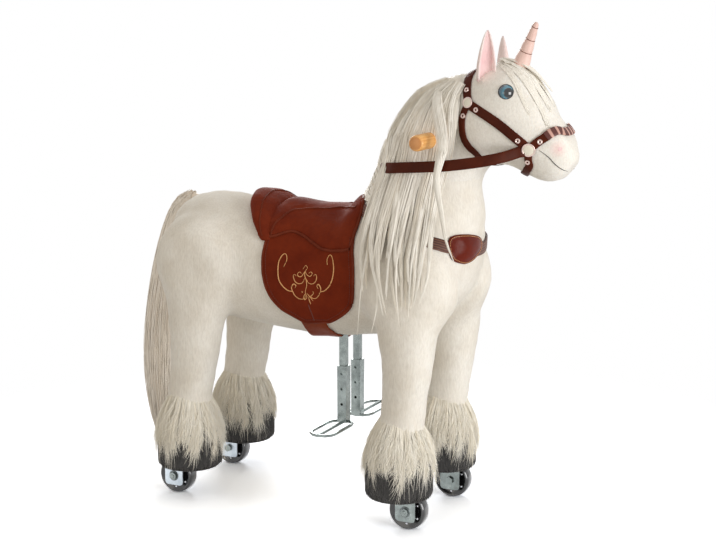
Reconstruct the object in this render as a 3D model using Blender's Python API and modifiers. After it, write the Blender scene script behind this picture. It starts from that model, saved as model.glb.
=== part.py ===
"""A plush ride-on unicorn on a galloping, steerable wheeled frame.

Metres, +Z up. The animal faces +X and its right side is -Y. The origin is on the
floor, under the middle of the animal's outline. Each object is one piece of the toy.
"""

import math

import bmesh
import bpy
from mathutils import Matrix, Vector

for item in list(bpy.data.objects):
    bpy.data.objects.remove(item, do_unlink=True)

# General fits
TOUCH_GAP = 0.0003
RUN_GAP = 0.0005
CLOTH_GAP = 0.0016
OVERRUN = 0.030
MERGE = 0.00002
ROUND_SIDES = 16
SMALL_SIDES = 12
SMOOTH_DEG = 35.0

# Overall sizes of the plush body
BODY_REAR_X = -0.374
BODY_LENGTH = 0.646
BELLY_Z = 0.330
BODY_HEIGHT = 0.250
BODY_HALF_WIDTH = 0.122
BODY_FRONT_X = BODY_REAR_X + BODY_LENGTH

# Wheels, axles and forks
WHEEL_RADIUS = 0.036
WHEEL_WIDTH = 0.027
WHEEL_SIDES = 20
WHEEL_EDGE = 0.004
HUB_RADIUS = 0.013
HUB_RECESS = 0.003
RIM_LIP = 0.005
AXLE_RADIUS = 0.004
AXLE_HEAD_RADIUS = 0.0078
AXLE_HEAD_HEIGHT = 0.0048
HEX_SIDES = 6
FORK_PLAY = 0.0016
FORK_PLATE = 0.003
FORK_WIDTH = 0.040
FORK_DROP = 0.019
FORK_CORNER = 0.007
FORK_CROWN_GAP = 0.004
FORK_CROWN = 0.004
FORK_SHOULDER = 0.014

# Leg frames: an upside-down U of tube at the shoulders and another at the hips
CHEST_REACH = 0.1045
RUMP_REACH = 0.106
LEG_INSET = 0.016
SHOULDER_X = BODY_FRONT_X - CHEST_REACH
SHOULDER_Z = 0.450
HIP_X = BODY_REAR_X + RUMP_REACH
HIP_Z = 0.462
LEG_Y = BODY_HALF_WIDTH - LEG_INSET
SADDLE_BACK = 0.2178
SADDLE_X = SHOULDER_X - SADDLE_BACK
LEG_TUBE_RADIUS = 0.0125
STEM_RADIUS = 0.009
FRONT_WHEEL_LEAD = 0.0145
REAR_FOOT_BACK = 0.030
REAR_WHEEL_BACK = 0.020
LEG_TUBE_STAND = 0.016

# Gallop linkage: a lug on each cross tube, a rod between them, two springs
CRANK_REACH = 0.040
LUG_THICKNESS = 0.004
LUG_LANE_Y = 0.037
LUG_RADIUS = 0.008
ROD_LANE_Y = 0.0408
ROD_THICKNESS = 0.003
ROD_PIN_RADIUS = 0.003
ROD_EYE_PLAY = 0.0015
SPRING_LANE_Y = -0.033
SPRING_ARM = 0.045
SPRING_TAB = 0.004
SPRING_RADIUS = 0.009
SPRING_WIRE = 0.0013
SPRING_LENGTH = 0.053
SPRING_TURNS = 6
SPRING_SEAT = 0.0037
GALLOP_DEG = 12.0

# Steering: column, crank, tie bar and the arms on the fork stems
STEER_ARM = 0.040
STEER_DEG = 18.0
ARM_GAP = 0.0025
ARM_THICKNESS = 0.004
ARM_HALF_WIDTH = 0.010
TIE_THICKNESS = 0.004
TIE_LIFT = 0.0015
TIE_HALF_WIDTH = 0.010
STEER_PIN_RADIUS = 0.0025
TIE_SLOT_PLAY = 0.0024
TIE_PIN_HEIGHT = 0.028
CRANK_LIFT = 0.048
CRANK_THICKNESS = 0.004
CRANK_HALF_WIDTH = 0.013
CRANK_SLOT_INNER = 0.024
CRANK_SLOT_OUTER = 0.044
CRANK_SLOT_PLAY = 0.0031
CRANK_LENGTH = 0.053
COLUMN_RADIUS = 0.010
HEAD_TUBE_RADIUS = 0.0145
HEAD_TUBE_BOTTOM = 0.054
HEAD_TUBE_TOP = 0.120

# Chassis
BEAM_HALF_WIDTH = 0.0125
BEAM_BOTTOM = 0.440
BEAM_TOP = 0.470
BEARING_RADIUS = 0.018
BEARING_HALF = 0.020
GUSSET_THICKNESS = 0.006
BOARD_THICKNESS = 0.012
BOARD_LIFT = 0.030
BOARD_REAR_X = SADDLE_X - 0.1497
BOARD_FRONT_X = SADDLE_X + 0.0803
BOARD_HALF_WIDTH = 0.040
RISER_HALF = 0.010
POST_X = SADDLE_X + 0.0603
POST_Y = 0.030
POST_SIDE = 0.013
POST_BOTTOM = 0.2115
CROSSBAR_HALF = 0.012
CROSSBAR_THICKNESS = 0.006
CROSSBAR_HALF_LENGTH = 0.0385

# Footrests
SLEEVE_SIDE = 0.019
SLEEVE_BOTTOM = 0.163
SLEEVE_TOP = 0.274
SLEEVE_HOLE_RADIUS = 0.0026
SLEEVE_HOLE_STEP = 0.030
SLEEVE_HOLES = 3
FOOT_WIRE = 0.0032
FOOT_HALF_WIDTH = 0.0245
FOOT_INNER_Y = 0.024
FOOT_OUTER_Y = 0.138

# Plush body
BODY_SIDES = 24
KEEL_HALF = 0.058
SLOT_HALF = 0.0475
SLOT_REAR_X = HIP_X - 0.034
SLOT_FRONT_X = SHOULDER_X + 0.0675
SLOT_TOP = 0.514
TOWER_REAR_X = SHOULDER_X - 0.0815
TOWER_HALF = 0.036
TOWER_TOP = 0.5755
PANEL_THICKNESS = 0.008
NECK_PLANE_Z = 0.600
TUBE_HOLE_PLAY = 0.0015
POST_HOLE_PLAY = 0.0006

# x, belly, back and width of each ring of the body, as shares of its sizes
BODY_SHARES = (
    (0.003, 0.50, 0.78, 0.25),
    (0.030, 0.32, 0.92, 0.50),
    (0.085, 0.18, 1.008, 0.78),
    (0.160, 0.09, 1.036, 0.94),
    (0.270, 0.05, 1.000, 0.985),
    (0.390, 0.02, 0.930, 1.00),
    (0.530, 0.00, 0.890, 1.00),
    (0.625, 0.012, 0.930, 0.975),
    (0.668, 0.03, 1.09, 0.95),
    (0.725, 0.05, 1.24, 0.925),
    (0.827, 0.13, 1.32, 0.885),
    (0.920, 0.26, 1.30, 0.755),
    (0.966, 0.40, 1.20, 0.60),
    (0.992, 0.56, 1.08, 0.37),
    (1.000, 0.66, 0.98, 0.17),
)
ROUNDNESS_SHARE = 2.3

# Plush legs
SHOULDER_RADIUS = 0.095
HIP_RADIUS = 0.108
LEG_CUT_PLAY = 0.004
LEG_INNER_Y = 0.0605
SHOULDER_OUTER_Y = LEG_Y + 0.041
HIP_OUTER_Y = LEG_Y + 0.048
LEG_BOTTOM = 0.2093
FORE_HALF_DEPTH = 0.047
HIND_HALF_DEPTH = 0.054
LEG_HALF_WIDTH = 0.045
PUCK_SIDES = 24
CUFF_TOP_RADIUS = 0.050
CUFF_RADIUS = 0.072
CUFF_BOTTOM = 0.1003
HOOF_TOP_RADIUS = 0.052
HOOF_RADIUS = 0.060
HOOF_BOTTOM = 0.060
FORE_CUFF_BACK = 0.006
HIND_CUFF_FORWARD = 0.003
HOOF_RECESS_RADIUS = 0.046
REAR_RECESS_RADIUS = 0.0405
REAR_RECESS_BACK = 0.016
RECESS_TOP = 0.086

# Neck and head: the neck stands on the body's flat top and turns on it
NECK_BASE_X = SHOULDER_X - 0.0055
NECK_REACH = 0.293
NECK_RISE = 0.157
NECK_HALF_DEPTH = 0.106
NECK_HALF_WIDTH = 0.086
NECK_SIDES = 20
NECK_STEPS = 2
HEAD_ROW = 4

# x, z, tilt in degrees, depth and width of each ring, as shares of the sizes above
NECK_SHARES = (
    (0.000, 0.000, 0.0, 1.000, 1.000),
    (0.027, 0.236, 14.0, 0.943, 0.907),
    (0.096, 0.478, 33.0, 0.875, 0.814),
    (0.237, 0.783, 62.0, 0.830, 0.767),
    (0.345, 0.917, 81.0, 0.849, 0.790),
    (0.522, 1.003, 108.0, 0.915, 0.837),
    (0.674, 0.892, 116.0, 0.703, 0.744),
    (0.761, 0.713, 124.0, 0.566, 0.616),
    (0.812, 0.615, 129.0, 0.509, 0.547),
    (0.905, 0.487, 129.5, 0.377, 0.477),
    (0.952, 0.418, 129.5, 0.226, 0.314),
)

DOWEL_X = SHOULDER_X + 0.0395
DOWEL_Z = 0.717
DOWEL_RADIUS = 0.0145
DOWEL_HALF_LENGTH = 0.145
DOWEL_CHAMFER = 0.002
CLAMP_RADIUS = 0.019
CLAMP_HALF = 0.024
COLUMN_BEND_Z = 0.640

HORN_X = NECK_BASE_X + 0.1825
HORN_Z = 0.8440
HORN_TIP_X = NECK_BASE_X + 0.2130
HORN_TIP_Z = 0.9260
HORN_RADIUS = 0.0175
HORN_TIP_RADIUS = 0.0025
HORN_ROOT = 0.010

EAR_X = NECK_BASE_X + 0.134
EAR_Y = 0.045
EAR_ROOT_Z = 0.820
EAR_HEIGHT = 0.090
EAR_HALF_DEPTH = 0.017
EAR_HALF_WIDTH = 0.009
EAR_LEAN = 0.006
EAR_SHARES = ((0.0, 0.80, 0.85), (0.30, 1.0, 1.0), (0.60, 0.88, 0.85), (0.86, 0.45, 0.5), (1.0, 0.08, 0.15))

EYE_X = NECK_BASE_X + 0.178
EYE_Y = 0.056
EYE_Z = 0.806
EYE_RADIUS = 0.0135

# Bridle
STRAP_WIDTH = 0.014
STRAP_THICKNESS = 0.0025
NOSEBAND_ROW = 7.75
HEADSTALL_ROW = 4.16
THROAT_ROW = 4.75
CHEEK_END_ROW = 6.62
CHEEK_START_DEG = 70.0
CHEEK_END_DEG = 100.0
BIT_ROW = 7.285
NORMAL_STEP_SHARE = 0.05
BIT_DEG = 104.0
RING_RADIUS = 0.0115
RING_WIRE = 0.0022
REIN_WIDTH = 0.017
REIN_LOW_ROW = 1.0
REIN_HIGH_ROW = 1.6
REIN_FRONT_DEG = 125.0
REIN_POINTS = 19
REIN_GAP = 0.0032

# Mane and tail
MANE_THICKNESS = 0.024
MANE_RIM_SHARE = 0.25
MANE_START_DEG = -18.0
MANE_END_DEG = 104.0
MANE_TOP_ROW = 3.75
FALL_X = SHOULDER_X - 0.0555
FALL_Y = LEG_Y - 0.0028
FALL_BOTTOM = 0.335
FALL_HALF_LENGTH = 0.050
FALL_HALF_THICKNESS = 0.013
FALL_SPREAD = 0.062
FALL_SHARES = ((0.0, 0.0, 0.0, 1.0, 1.15), (0.19, 0.10, 0.45, 1.0, 1.1), (0.38, 0.25, 0.92, 0.95, 0.95),
               (0.66, 0.40, 1.0, 0.85, 0.85), (0.88, 0.58, 0.98, 0.62, 0.7), (1.0, 0.68, 0.95, 0.25, 0.35))
FALL_DRIFT = 0.050
TAIL_TOP_Z = 0.590
TAIL_LENGTH = 0.551
TAIL_REACH = 0.090
TAIL_ROOT_X = BODY_REAR_X + 0.037
TAIL_HALF_DEPTH = 0.027
TAIL_HALF_WIDTH = 0.026
TAIL_SHARES = ((0.0, 0.07, 0.52, 0.6, 62.0), (0.30, 0.005, 0.60, 0.65, 0.0), (0.60, 0.07, 0.75, 0.85, -60.0),
               (0.79, 0.22, 0.85, 1.0, -82.0), (0.90, 0.42, 0.95, 1.0, -87.0), (0.995, 0.62, 1.0, 1.0, -90.0),
               (0.99, 0.81, 0.95, 0.95, -92.0), (0.90, 0.95, 0.70, 0.75, -95.0), (0.86, 1.0, 0.25, 0.3, -95.0))

# Saddle
FLAP_REAR_X = SADDLE_X - 0.0617
FLAP_FRONT_X = SADDLE_X + 0.1143
FLAP_TOP_FRONT_X = SADDLE_X + 0.0798
FLAP_WIDE_SHARE = 0.48
FLAP_BOTTOM_DEG = 123.0
FLAP_THICKNESS = 0.0035
FLAP_ROUND_SHARE = 0.42
GIRTH_X = SADDLE_X + 0.0243
GIRTH_HALF_WIDTH = 0.024
GIRTH_THICKNESS = 0.003
GIRTH_GAP_DEG = 0.6
SEAT_REAR_X = SADDLE_X - 0.0857
SEAT_FRONT_X = SADDLE_X + 0.0793
SEAT_EDGE_DEG = 62.0
SEAT_THICKNESS = 0.021
SEAT_RIM_SHARE = 0.22
CANTLE_REAR_X = SADDLE_X - 0.1607
CANTLE_FRONT_X = SADDLE_X - 0.0875
CANTLE_LOW_REAR_X = SADDLE_X - 0.1057
CANTLE_EDGE_DEG = 62.0
CANTLE_THICKNESS = 0.0275
CANTLE_RIM_SHARE = 0.22

# Breast strap and badge
BADGE_Z = 0.513
BADGE_Y = -0.035
BADGE_HALF_WIDTH = 0.036
BADGE_HALF_HEIGHT = 0.027
BADGE_THICKNESS = 0.020
BADGE_TURN_DEG = 28.0
BADGE_SIDES = 20
BREAST_WIDTH = 0.020
BREAST_THICKNESS = 0.0025
BREAST_END_X = BODY_FRONT_X - 0.072
BREAST_END_Z = 0.568
BREAST_POINTS = 6

PLUSH_WHITE = ("plush_white", (0.86, 0.84, 0.80), 0.95, 0.0)
FUR_CREAM = ("fur_cream", (0.84, 0.78, 0.66), 0.95, 0.0)
PLUSH_BLACK = ("plush_black", (0.035, 0.035, 0.035), 0.95, 0.0)
EAR_PINK = ("ear_pink", (0.86, 0.66, 0.66), 0.95, 0.0)
LEATHER_DARK = ("leather_dark", (0.13, 0.04, 0.022), 0.55, 0.0)
LEATHER_TAN = ("leather_tan", (0.26, 0.08, 0.032), 0.55, 0.0)
STRAP_BROWN = ("strap_brown", (0.12, 0.04, 0.025), 0.65, 0.0)
BADGE_BROWN = ("badge_brown", (0.16, 0.05, 0.03), 0.35, 0.0)
ZINC = ("zinc_plate", (0.66, 0.70, 0.74), 0.32, 1.0)
FRAME_PAINT = ("frame_paint", (0.06, 0.06, 0.065), 0.5, 0.0)
SPRING_STEEL = ("spring_steel", (0.45, 0.45, 0.47), 0.35, 1.0)
WHEEL_BLACK = ("wheel_black", (0.02, 0.02, 0.022), 0.3, 0.0)
BEECH = ("beech_wood", (0.72, 0.46, 0.20), 0.5, 0.0)
PLYWOOD = ("plywood", (0.62, 0.45, 0.28), 0.7, 0.0)
HORN_PINK = ("horn_satin", (0.72, 0.47, 0.44), 0.4, 0.0)
EYE_BLUE = ("eye_blue", (0.04, 0.22, 0.32), 0.08, 0.0)

PARTS = bpy.data.collections.new("galloping_unicorn")
bpy.context.scene.collection.children.link(PARTS)
SIDES = (("right", -1.0), ("left", 1.0))
ALONG_X = Vector((1.0, 0.0, 0.0))
ALONG_Y = Vector((0.0, 1.0, 0.0))
ALONG_Z = Vector((0.0, 0.0, 1.0))


def material(spec):
    """Return the Principled material that a specification names."""
    name, colour, roughness, metallic = spec
    found = bpy.data.materials.get(name)
    if found:
        return found
    made = bpy.data.materials.new(name)
    made.use_nodes = True
    shader = made.node_tree.nodes["Principled BSDF"]
    shader.inputs["Base Color"].default_value = (*colour, 1.0)
    shader.inputs["Roughness"].default_value = roughness
    shader.inputs["Metallic"].default_value = metallic
    return made


def from_bmesh(bm, name="shape"):
    """Turn a bmesh into an object, with its faces pointing outwards."""
    bmesh.ops.recalc_face_normals(bm, faces=bm.faces)
    mesh = bpy.data.meshes.new(name)
    bm.to_mesh(mesh)
    bm.free()
    made = bpy.data.objects.new(name, mesh)
    PARTS.objects.link(made)
    return made


def settle(made):
    """Replace an object by a plain mesh of what its modifiers or curve make."""
    bpy.context.view_layer.update()
    evaluated = made.evaluated_get(bpy.context.evaluated_depsgraph_get())
    mesh = bpy.data.meshes.new_from_object(evaluated)
    place = made.matrix_world.copy()
    bpy.data.objects.remove(made, do_unlink=True)
    bm = bmesh.new()
    bm.from_mesh(mesh)
    bpy.data.meshes.remove(mesh)
    bmesh.ops.transform(bm, matrix=place, verts=bm.verts)
    bmesh.ops.remove_doubles(bm, verts=bm.verts, dist=MERGE)
    bmesh.ops.dissolve_degenerate(bm, edges=bm.edges, dist=MERGE)
    return from_bmesh(bm)


def combine(base, tool, operation):
    """Join, cut or intersect two shapes, and drop the second."""
    change = base.modifiers.new(operation.lower(), "BOOLEAN")
    change.operation = operation
    change.solver = "EXACT"
    change.object = tool
    made = settle(base)
    bpy.data.objects.remove(tool, do_unlink=True)
    return made


def join(pieces):
    base = pieces[0]
    for piece in pieces[1:]:
        base = combine(base, piece, "UNION")
    return base


def cut(base, tools):
    for tool in tools:
        base = combine(base, tool, "DIFFERENCE")
    return base


def finish(made, name, spec, pivot=None):
    """Name a piece, give it its material and set its origin on its joint's axis."""
    made.name = name
    made.data.name = name
    made.data.materials.clear()
    made.data.materials.append(material(spec))
    made.data.shade_smooth()
    made.data.set_sharp_from_angle(angle=math.radians(SMOOTH_DEG))
    if pivot:
        made.data.transform(Matrix.Translation(-Vector(pivot)))
        made.location = pivot
    return made


def box(low, high):
    bm = bmesh.new()
    low, high = Vector(low), Vector(high)
    size = high - low
    place = Matrix.Translation((low + high) / 2) @ Matrix.Diagonal((*size, 1.0))
    bmesh.ops.create_cube(bm, size=1.0, matrix=place)
    return from_bmesh(bm)


def facing(direction):
    return Vector(direction).to_track_quat("Z", "Y").to_matrix().to_4x4()


def rod(start, end, radius, sides=ROUND_SIDES, end_radius=None, spin=0.0):
    """A straight round bar, or a cone, between two points."""
    start, end = Vector(start), Vector(end)
    place = Matrix.Translation((start + end) / 2) @ facing(end - start) @ Matrix.Rotation(spin, 4, "Z")
    bm = bmesh.new()
    bmesh.ops.create_cone(bm, cap_ends=True, segments=sides, radius1=radius,
                          radius2=radius if end_radius is None else end_radius,
                          depth=(end - start).length, matrix=place)
    return from_bmesh(bm)


def bore(start, end, radius, sides=ROUND_SIDES):
    """A cutter whose flats, not its corners, lie at the radius."""
    return rod(start, end, radius / math.cos(math.pi / sides), sides)


def turned(profile, sides, centre, axis, closed=False, spin=0.0):
    """Spin a profile of (radius, height) pairs, running down the outer side, about an axis."""
    mesh = bpy.data.meshes.new("profile")
    count = len(profile)
    edges = [(i, (i + 1) % count) for i in range(count if closed else count - 1)]
    mesh.from_pydata([(radius, 0.0, height) for radius, height in profile], edges, [])
    made = bpy.data.objects.new("turned", mesh)
    PARTS.objects.link(made)
    screw = made.modifiers.new("screw", "SCREW")
    screw.axis = "Z"
    screw.steps = sides
    screw.render_steps = sides
    screw.use_merge_vertices = True
    screw.merge_threshold = MERGE
    made.matrix_world = Matrix.Translation(centre) @ facing(axis) @ Matrix.Rotation(spin, 4, "Z")
    return settle(made)


def tube(points, radius, resolution=2, cyclic=False):
    """A round wire or tube through points."""
    curve = bpy.data.curves.new("wire", "CURVE")
    curve.dimensions = "3D"
    curve.bevel_depth = radius
    curve.bevel_resolution = resolution
    curve.use_fill_caps = True
    line = curve.splines.new("POLY")
    line.points.add(len(points) - 1)
    for knot, point in zip(line.points, points):
        knot.co = (*point, 1.0)
    line.use_cyclic_u = cyclic
    made = bpy.data.objects.new("wire", curve)
    PARTS.objects.link(made)
    return settle(made)


def plate(outlines, thickness, place):
    """A flat plate: the first outline is its edge and the others are holes."""
    curve = bpy.data.curves.new("plate", "CURVE")
    curve.dimensions = "2D"
    curve.fill_mode = "BOTH"
    curve.extrude = thickness / 2
    for outline in outlines:
        line = curve.splines.new("POLY")
        line.points.add(len(outline) - 1)
        for knot, point in zip(line.points, outline):
            knot.co = (point[0], point[1], 0.0, 1.0)
        line.use_cyclic_u = True
    made = bpy.data.objects.new("plate", curve)
    PARTS.objects.link(made)
    made.matrix_world = place
    return settle(made)


def arc(centre, radius, start_deg, end_deg, steps):
    """Points along an arc, ends included."""
    points = []
    for i in range(steps + 1):
        angle = math.radians(start_deg + (end_deg - start_deg) * i / steps)
        points.append((centre[0] + radius * math.cos(angle), centre[1] + radius * math.sin(angle)))
    return points


def slot_outline(start, end, radius, steps=6):
    """A slot or strip with round ends, along its own X axis."""
    return arc((end, 0.0), radius, -90.0, 90.0, steps) + arc((start, 0.0), radius, 90.0, 270.0, steps)


def signed_power(value, power):
    return math.copysign(abs(value) ** power, value)


def oval_point(angle_deg, half_up, half_side):
    """A point of a slightly squared oval, as (up, side); 0 degrees is straight up."""
    angle = math.radians(angle_deg)
    up = half_up * signed_power(math.cos(angle), 2 / ROUNDNESS_SHARE)
    side = half_side * signed_power(math.sin(angle), 2 / ROUNDNESS_SHARE)
    return up, side


def loft(rings):
    """A closed solid through rings of points."""
    bm = bmesh.new()
    loops = [[bm.verts.new(point) for point in ring] for ring in rings]
    count = len(loops[0])
    for lower, upper in zip(loops, loops[1:]):
        for i in range(count):
            j = (i + 1) % count
            bm.faces.new((lower[i], lower[j], upper[j], upper[i]))
    bm.faces.new(list(reversed(loops[0])))
    bm.faces.new(loops[-1])
    return from_bmesh(bm)


def spline(rows, index):
    """A row between the given rows, on a smooth curve through them."""
    low = min(int(index), len(rows) - 2)
    t = index - low
    four = [rows[min(max(low + k, 0), len(rows) - 1)] for k in (-1, 0, 1, 2)]
    weights = (-t + 2 * t ** 2 - t ** 3, 2 - 5 * t ** 2 + 3 * t ** 3,
               t + 4 * t ** 2 - 3 * t ** 3, t ** 3 - t ** 2)
    return [sum(w * row[c] for w, row in zip(weights, four)) / 2 for c in range(len(rows[0]))]


def mix(start, end, share):
    return start + (end - start) * share


def body_row(x):
    """Belly height, back height and half width of the body at x."""
    share = (x - BODY_REAR_X) / BODY_LENGTH
    rows = BODY_SHARES
    share = min(max(share, rows[0][0]), rows[-1][0])
    for low, high in zip(rows, rows[1:]):
        if share <= high[0]:
            t = (share - low[0]) / (high[0] - low[0])
            row = [mix(a, b, t) for a, b in zip(low, high)]
            break
    return BELLY_Z + row[1] * BODY_HEIGHT, BELLY_Z + row[2] * BODY_HEIGHT, row[3] * BODY_HALF_WIDTH


def body_point(x, angle_deg, offset=0.0):
    """A point on the body; 0 degrees is the back and 90 the right flank."""
    belly, back, half_width = body_row(x)
    up, side = oval_point(angle_deg, (back - belly) / 2 + offset, half_width + offset)
    return Vector((x, -side, (belly + back) / 2 + up))


def body_flank(x, z):
    """The body's half width at a height."""
    belly, back, half_width = body_row(x)
    share = min(abs(z - (belly + back) / 2) / ((back - belly) / 2), 1.0)
    return half_width * (1 - share ** ROUNDNESS_SHARE) ** (1 / ROUNDNESS_SHARE)


def body_solid(offset=0.0, lift=0.0):
    rings = []
    for row in BODY_SHARES:
        x = BODY_REAR_X + row[0] * BODY_LENGTH
        ring = [body_point(x, 360.0 * i / BODY_SIDES, offset) for i in range(BODY_SIDES)]
        rings.append([point + Vector((0.0, 0.0, lift)) for point in ring])
    for point in rings[0]:
        point.x -= offset
    for point in rings[-1]:
        point.x += offset
    return loft(rings)


def neck_row(index):
    """Centre, crest direction, half depth and half width of the neck and head at a row."""
    row = spline(NECK_SHARES, index)
    centre = Vector((NECK_BASE_X + row[0] * NECK_REACH, 0.0, NECK_PLANE_Z + row[1] * NECK_RISE))
    tilt = math.radians(row[2])
    crest = Vector((-math.cos(tilt), 0.0, math.sin(tilt)))
    return centre, crest, row[3] * NECK_HALF_DEPTH, row[4] * NECK_HALF_WIDTH


def neck_point(index, angle_deg, offset=0.0):
    """A point on the neck or head; 0 degrees is the crest and 90 the right side."""
    centre, crest, half_depth, half_width = neck_row(index)
    up, side = oval_point(angle_deg, half_depth + offset, half_width + offset)
    return centre + crest * up - ALONG_Y * side


def neck_rings(first, last, offset=0.0):
    rings = []
    for k in range((last - first) * NECK_STEPS + 1):
        index = first + k / NECK_STEPS
        rings.append([neck_point(index, 360.0 * i / NECK_SIDES, offset) for i in range(NECK_SIDES)])
    return rings


def cushion(place, columns, rows, thickness, inside, crown=None, rim_share=1.0):
    """A sheet over a surface, thickened outwards, and crowned if a crown is given."""
    bm = bmesh.new()
    bmesh.ops.create_grid(bm, x_segments=columns, y_segments=rows, size=1.0)
    shares = {}
    bm.verts.index_update()
    for vert in bm.verts:
        u, v = (vert.co.x + 1) / 2, (vert.co.y + 1) / 2
        shares[vert.index] = (u, v)
        vert.co = place(u, v)
    bm.normal_update()
    lean = sum(face.normal.dot(face.calc_center_median() - Vector(inside)) for face in bm.faces)
    if lean < 0:
        bmesh.ops.reverse_faces(bm, faces=bm.faces)
    mesh = bpy.data.meshes.new("sheet")
    bm.to_mesh(mesh)
    bm.free()
    made = bpy.data.objects.new("sheet", mesh)
    PARTS.objects.link(made)
    solid = made.modifiers.new("solid", "SOLIDIFY")
    solid.thickness = thickness
    solid.offset = 1.0
    if crown:
        group = made.vertex_groups.new(name="crown")
        for index, (u, v) in shares.items():
            group.add([index], rim_share + (1 - rim_share) * crown(u, v), "REPLACE")
        solid.vertex_group = "crown"
    return settle(made)


def dome(u, v):
    """Full in the middle and nothing at the edges, with a quick rise."""
    across = 1 - abs(2 * u - 1) ** 3
    along = 1 - abs(2 * v - 1) ** 4
    return max(across, 0.0) ** (1 / 2) * max(along, 0.0) ** (1 / 2)


def strap(points, normals, width, thickness, gap, closed=False):
    """A flat strap along points that lie on a surface with the given normals."""
    rings = []
    count = len(points)
    for i, (point, normal) in enumerate(zip(points, normals)):
        after = points[(i + 1) % count] if closed or i < count - 1 else point
        before = points[i - 1] if closed or i > 0 else point
        along = (after - before).normalized()
        normal = (normal - along * normal.dot(along)).normalized()
        across = along.cross(normal)
        low, high = normal * gap, normal * (gap + thickness)
        half = across * width / 2
        rings.append([point + low - half, point + low + half, point + high + half, point + high - half])
    if not closed:
        return loft(rings)
    bm = bmesh.new()
    loops = [[bm.verts.new(corner) for corner in ring] for ring in rings]
    for i in range(count):
        lower, upper = loops[i], loops[(i + 1) % count]
        for j in range(4):
            k = (j + 1) % 4
            bm.faces.new((lower[j], lower[k], upper[k], upper[j]))
    return from_bmesh(bm)


def wheel(name, x, y):
    """A solid wheel with a recessed hub; a flat of its tread faces the floor."""
    radius = WHEEL_RADIUS / math.cos(math.pi / WHEEL_SIDES)
    half = WHEEL_WIDTH / 2
    hole = (AXLE_RADIUS + RUN_GAP) / math.cos(math.pi / WHEEL_SIDES)
    web = half - HUB_RECESS
    lip = radius - WHEEL_EDGE - RIM_LIP
    profile = [(hole, half), (HUB_RADIUS, half), (HUB_RADIUS, web), (lip, web), (lip, half),
               (radius - WHEEL_EDGE, half), (radius, half - WHEEL_EDGE), (radius, WHEEL_EDGE - half),
               (radius - WHEEL_EDGE, -half), (lip, -half), (lip, -web), (HUB_RADIUS, -web),
               (HUB_RADIUS, -half), (hole, -half)]
    centre = Vector((x, y, WHEEL_RADIUS))
    made = turned(profile, WHEEL_SIDES, centre, ALONG_Y, closed=True, spin=math.pi / WHEEL_SIDES)
    return finish(made, name, WHEEL_BLACK, centre)


def axle(name, x, y):
    """A bolt and its nut, through both plates of a fork."""
    reach = WHEEL_WIDTH / 2 + FORK_PLAY + FORK_PLATE + TOUCH_GAP
    centre = Vector((x, y, WHEEL_RADIUS))
    half = reach + AXLE_HEAD_HEIGHT / 2
    shank = rod(centre - ALONG_Y * half, centre + ALONG_Y * half, AXLE_RADIUS, SMALL_SIDES)
    pieces = [shank]
    for sign in (-1.0, 1.0):
        start = centre + ALONG_Y * sign * reach
        pieces.append(rod(start, start + ALONG_Y * sign * AXLE_HEAD_HEIGHT, AXLE_HEAD_RADIUS, HEX_SIDES))
    return finish(join(pieces), name, ZINC, centre)


def fork_shape(stem_x, wheel_x, y):
    """The two plates and the crown of a wheel fork."""
    crown_bottom = 2 * WHEEL_RADIUS + FORK_CROWN_GAP
    half = FORK_WIDTH / 2
    outer = WHEEL_WIDTH / 2 + FORK_PLAY + FORK_PLATE
    low = WHEEL_RADIUS - FORK_DROP
    outline = [(-half, crown_bottom + FORK_CROWN), (-half, low + FORK_CORNER)]
    outline += arc((FORK_CORNER - half, low + FORK_CORNER), FORK_CORNER, 180.0, 270.0, 3)[1:]
    outline += arc((half - FORK_CORNER, low + FORK_CORNER), FORK_CORNER, 270.0, 360.0, 3)
    outline += [(half, crown_bottom + FORK_CROWN)]
    pieces = []
    for sign in (-1.0, 1.0):
        middle = Vector((wheel_x, y + sign * (outer - FORK_PLATE / 2), 0.0))
        place = Matrix.Translation(middle) @ Matrix.Rotation(math.pi / 2, 4, "X")
        pieces.append(plate([outline], FORK_PLATE, place))
    rear = min(wheel_x - half, stem_x - FORK_SHOULDER)
    front = max(wheel_x + half, stem_x + FORK_SHOULDER)
    pieces.append(box((rear, y - outer, crown_bottom), (front, y + outer, crown_bottom + FORK_CROWN)))
    return join(pieces)


def axle_bore(x, y):
    reach = WHEEL_WIDTH / 2 + FORK_PLAY + FORK_PLATE + OVERRUN
    centre = Vector((x, y, WHEEL_RADIUS))
    return bore(centre - ALONG_Y * reach, centre + ALONG_Y * reach, AXLE_RADIUS + TOUCH_GAP, SMALL_SIDES)


def crown_top():
    return 2 * WHEEL_RADIUS + FORK_CROWN_GAP + FORK_CROWN


def front_fork(name, sign):
    """A steered fork: its stem runs up inside the leg tube to an arm and a pin."""
    y = sign * LEG_Y
    wheel_x = SHOULDER_X + FRONT_WHEEL_LEAD
    arm_low = SHOULDER_Z + LEG_TUBE_STAND + ARM_GAP
    arm_high = arm_low + ARM_THICKNESS
    foot = Vector((SHOULDER_X, y, crown_top() - FORK_CROWN / 2))
    stem = rod(foot, (SHOULDER_X, y, arm_high), STEM_RADIUS)
    arm = plate([slot_outline(0.0, STEER_ARM, ARM_HALF_WIDTH)], ARM_THICKNESS,
                Matrix.Translation((SHOULDER_X, y, (arm_low + arm_high) / 2)))
    pin_x = SHOULDER_X + STEER_ARM
    pin = rod((pin_x, y, arm_low + ARM_THICKNESS / 2), (pin_x, y, arm_high + TIE_LIFT + 2 * TIE_THICKNESS),
              STEER_PIN_RADIUS, SMALL_SIDES)
    made = join([fork_shape(SHOULDER_X, wheel_x, y), stem, arm, pin])
    made = cut(made, [axle_bore(wheel_x, y)])
    return finish(made, name, ZINC, (SHOULDER_X, y, 0.0))


def tie_low():
    return SHOULDER_Z + LEG_TUBE_STAND + ARM_GAP + ARM_THICKNESS + TIE_LIFT


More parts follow.
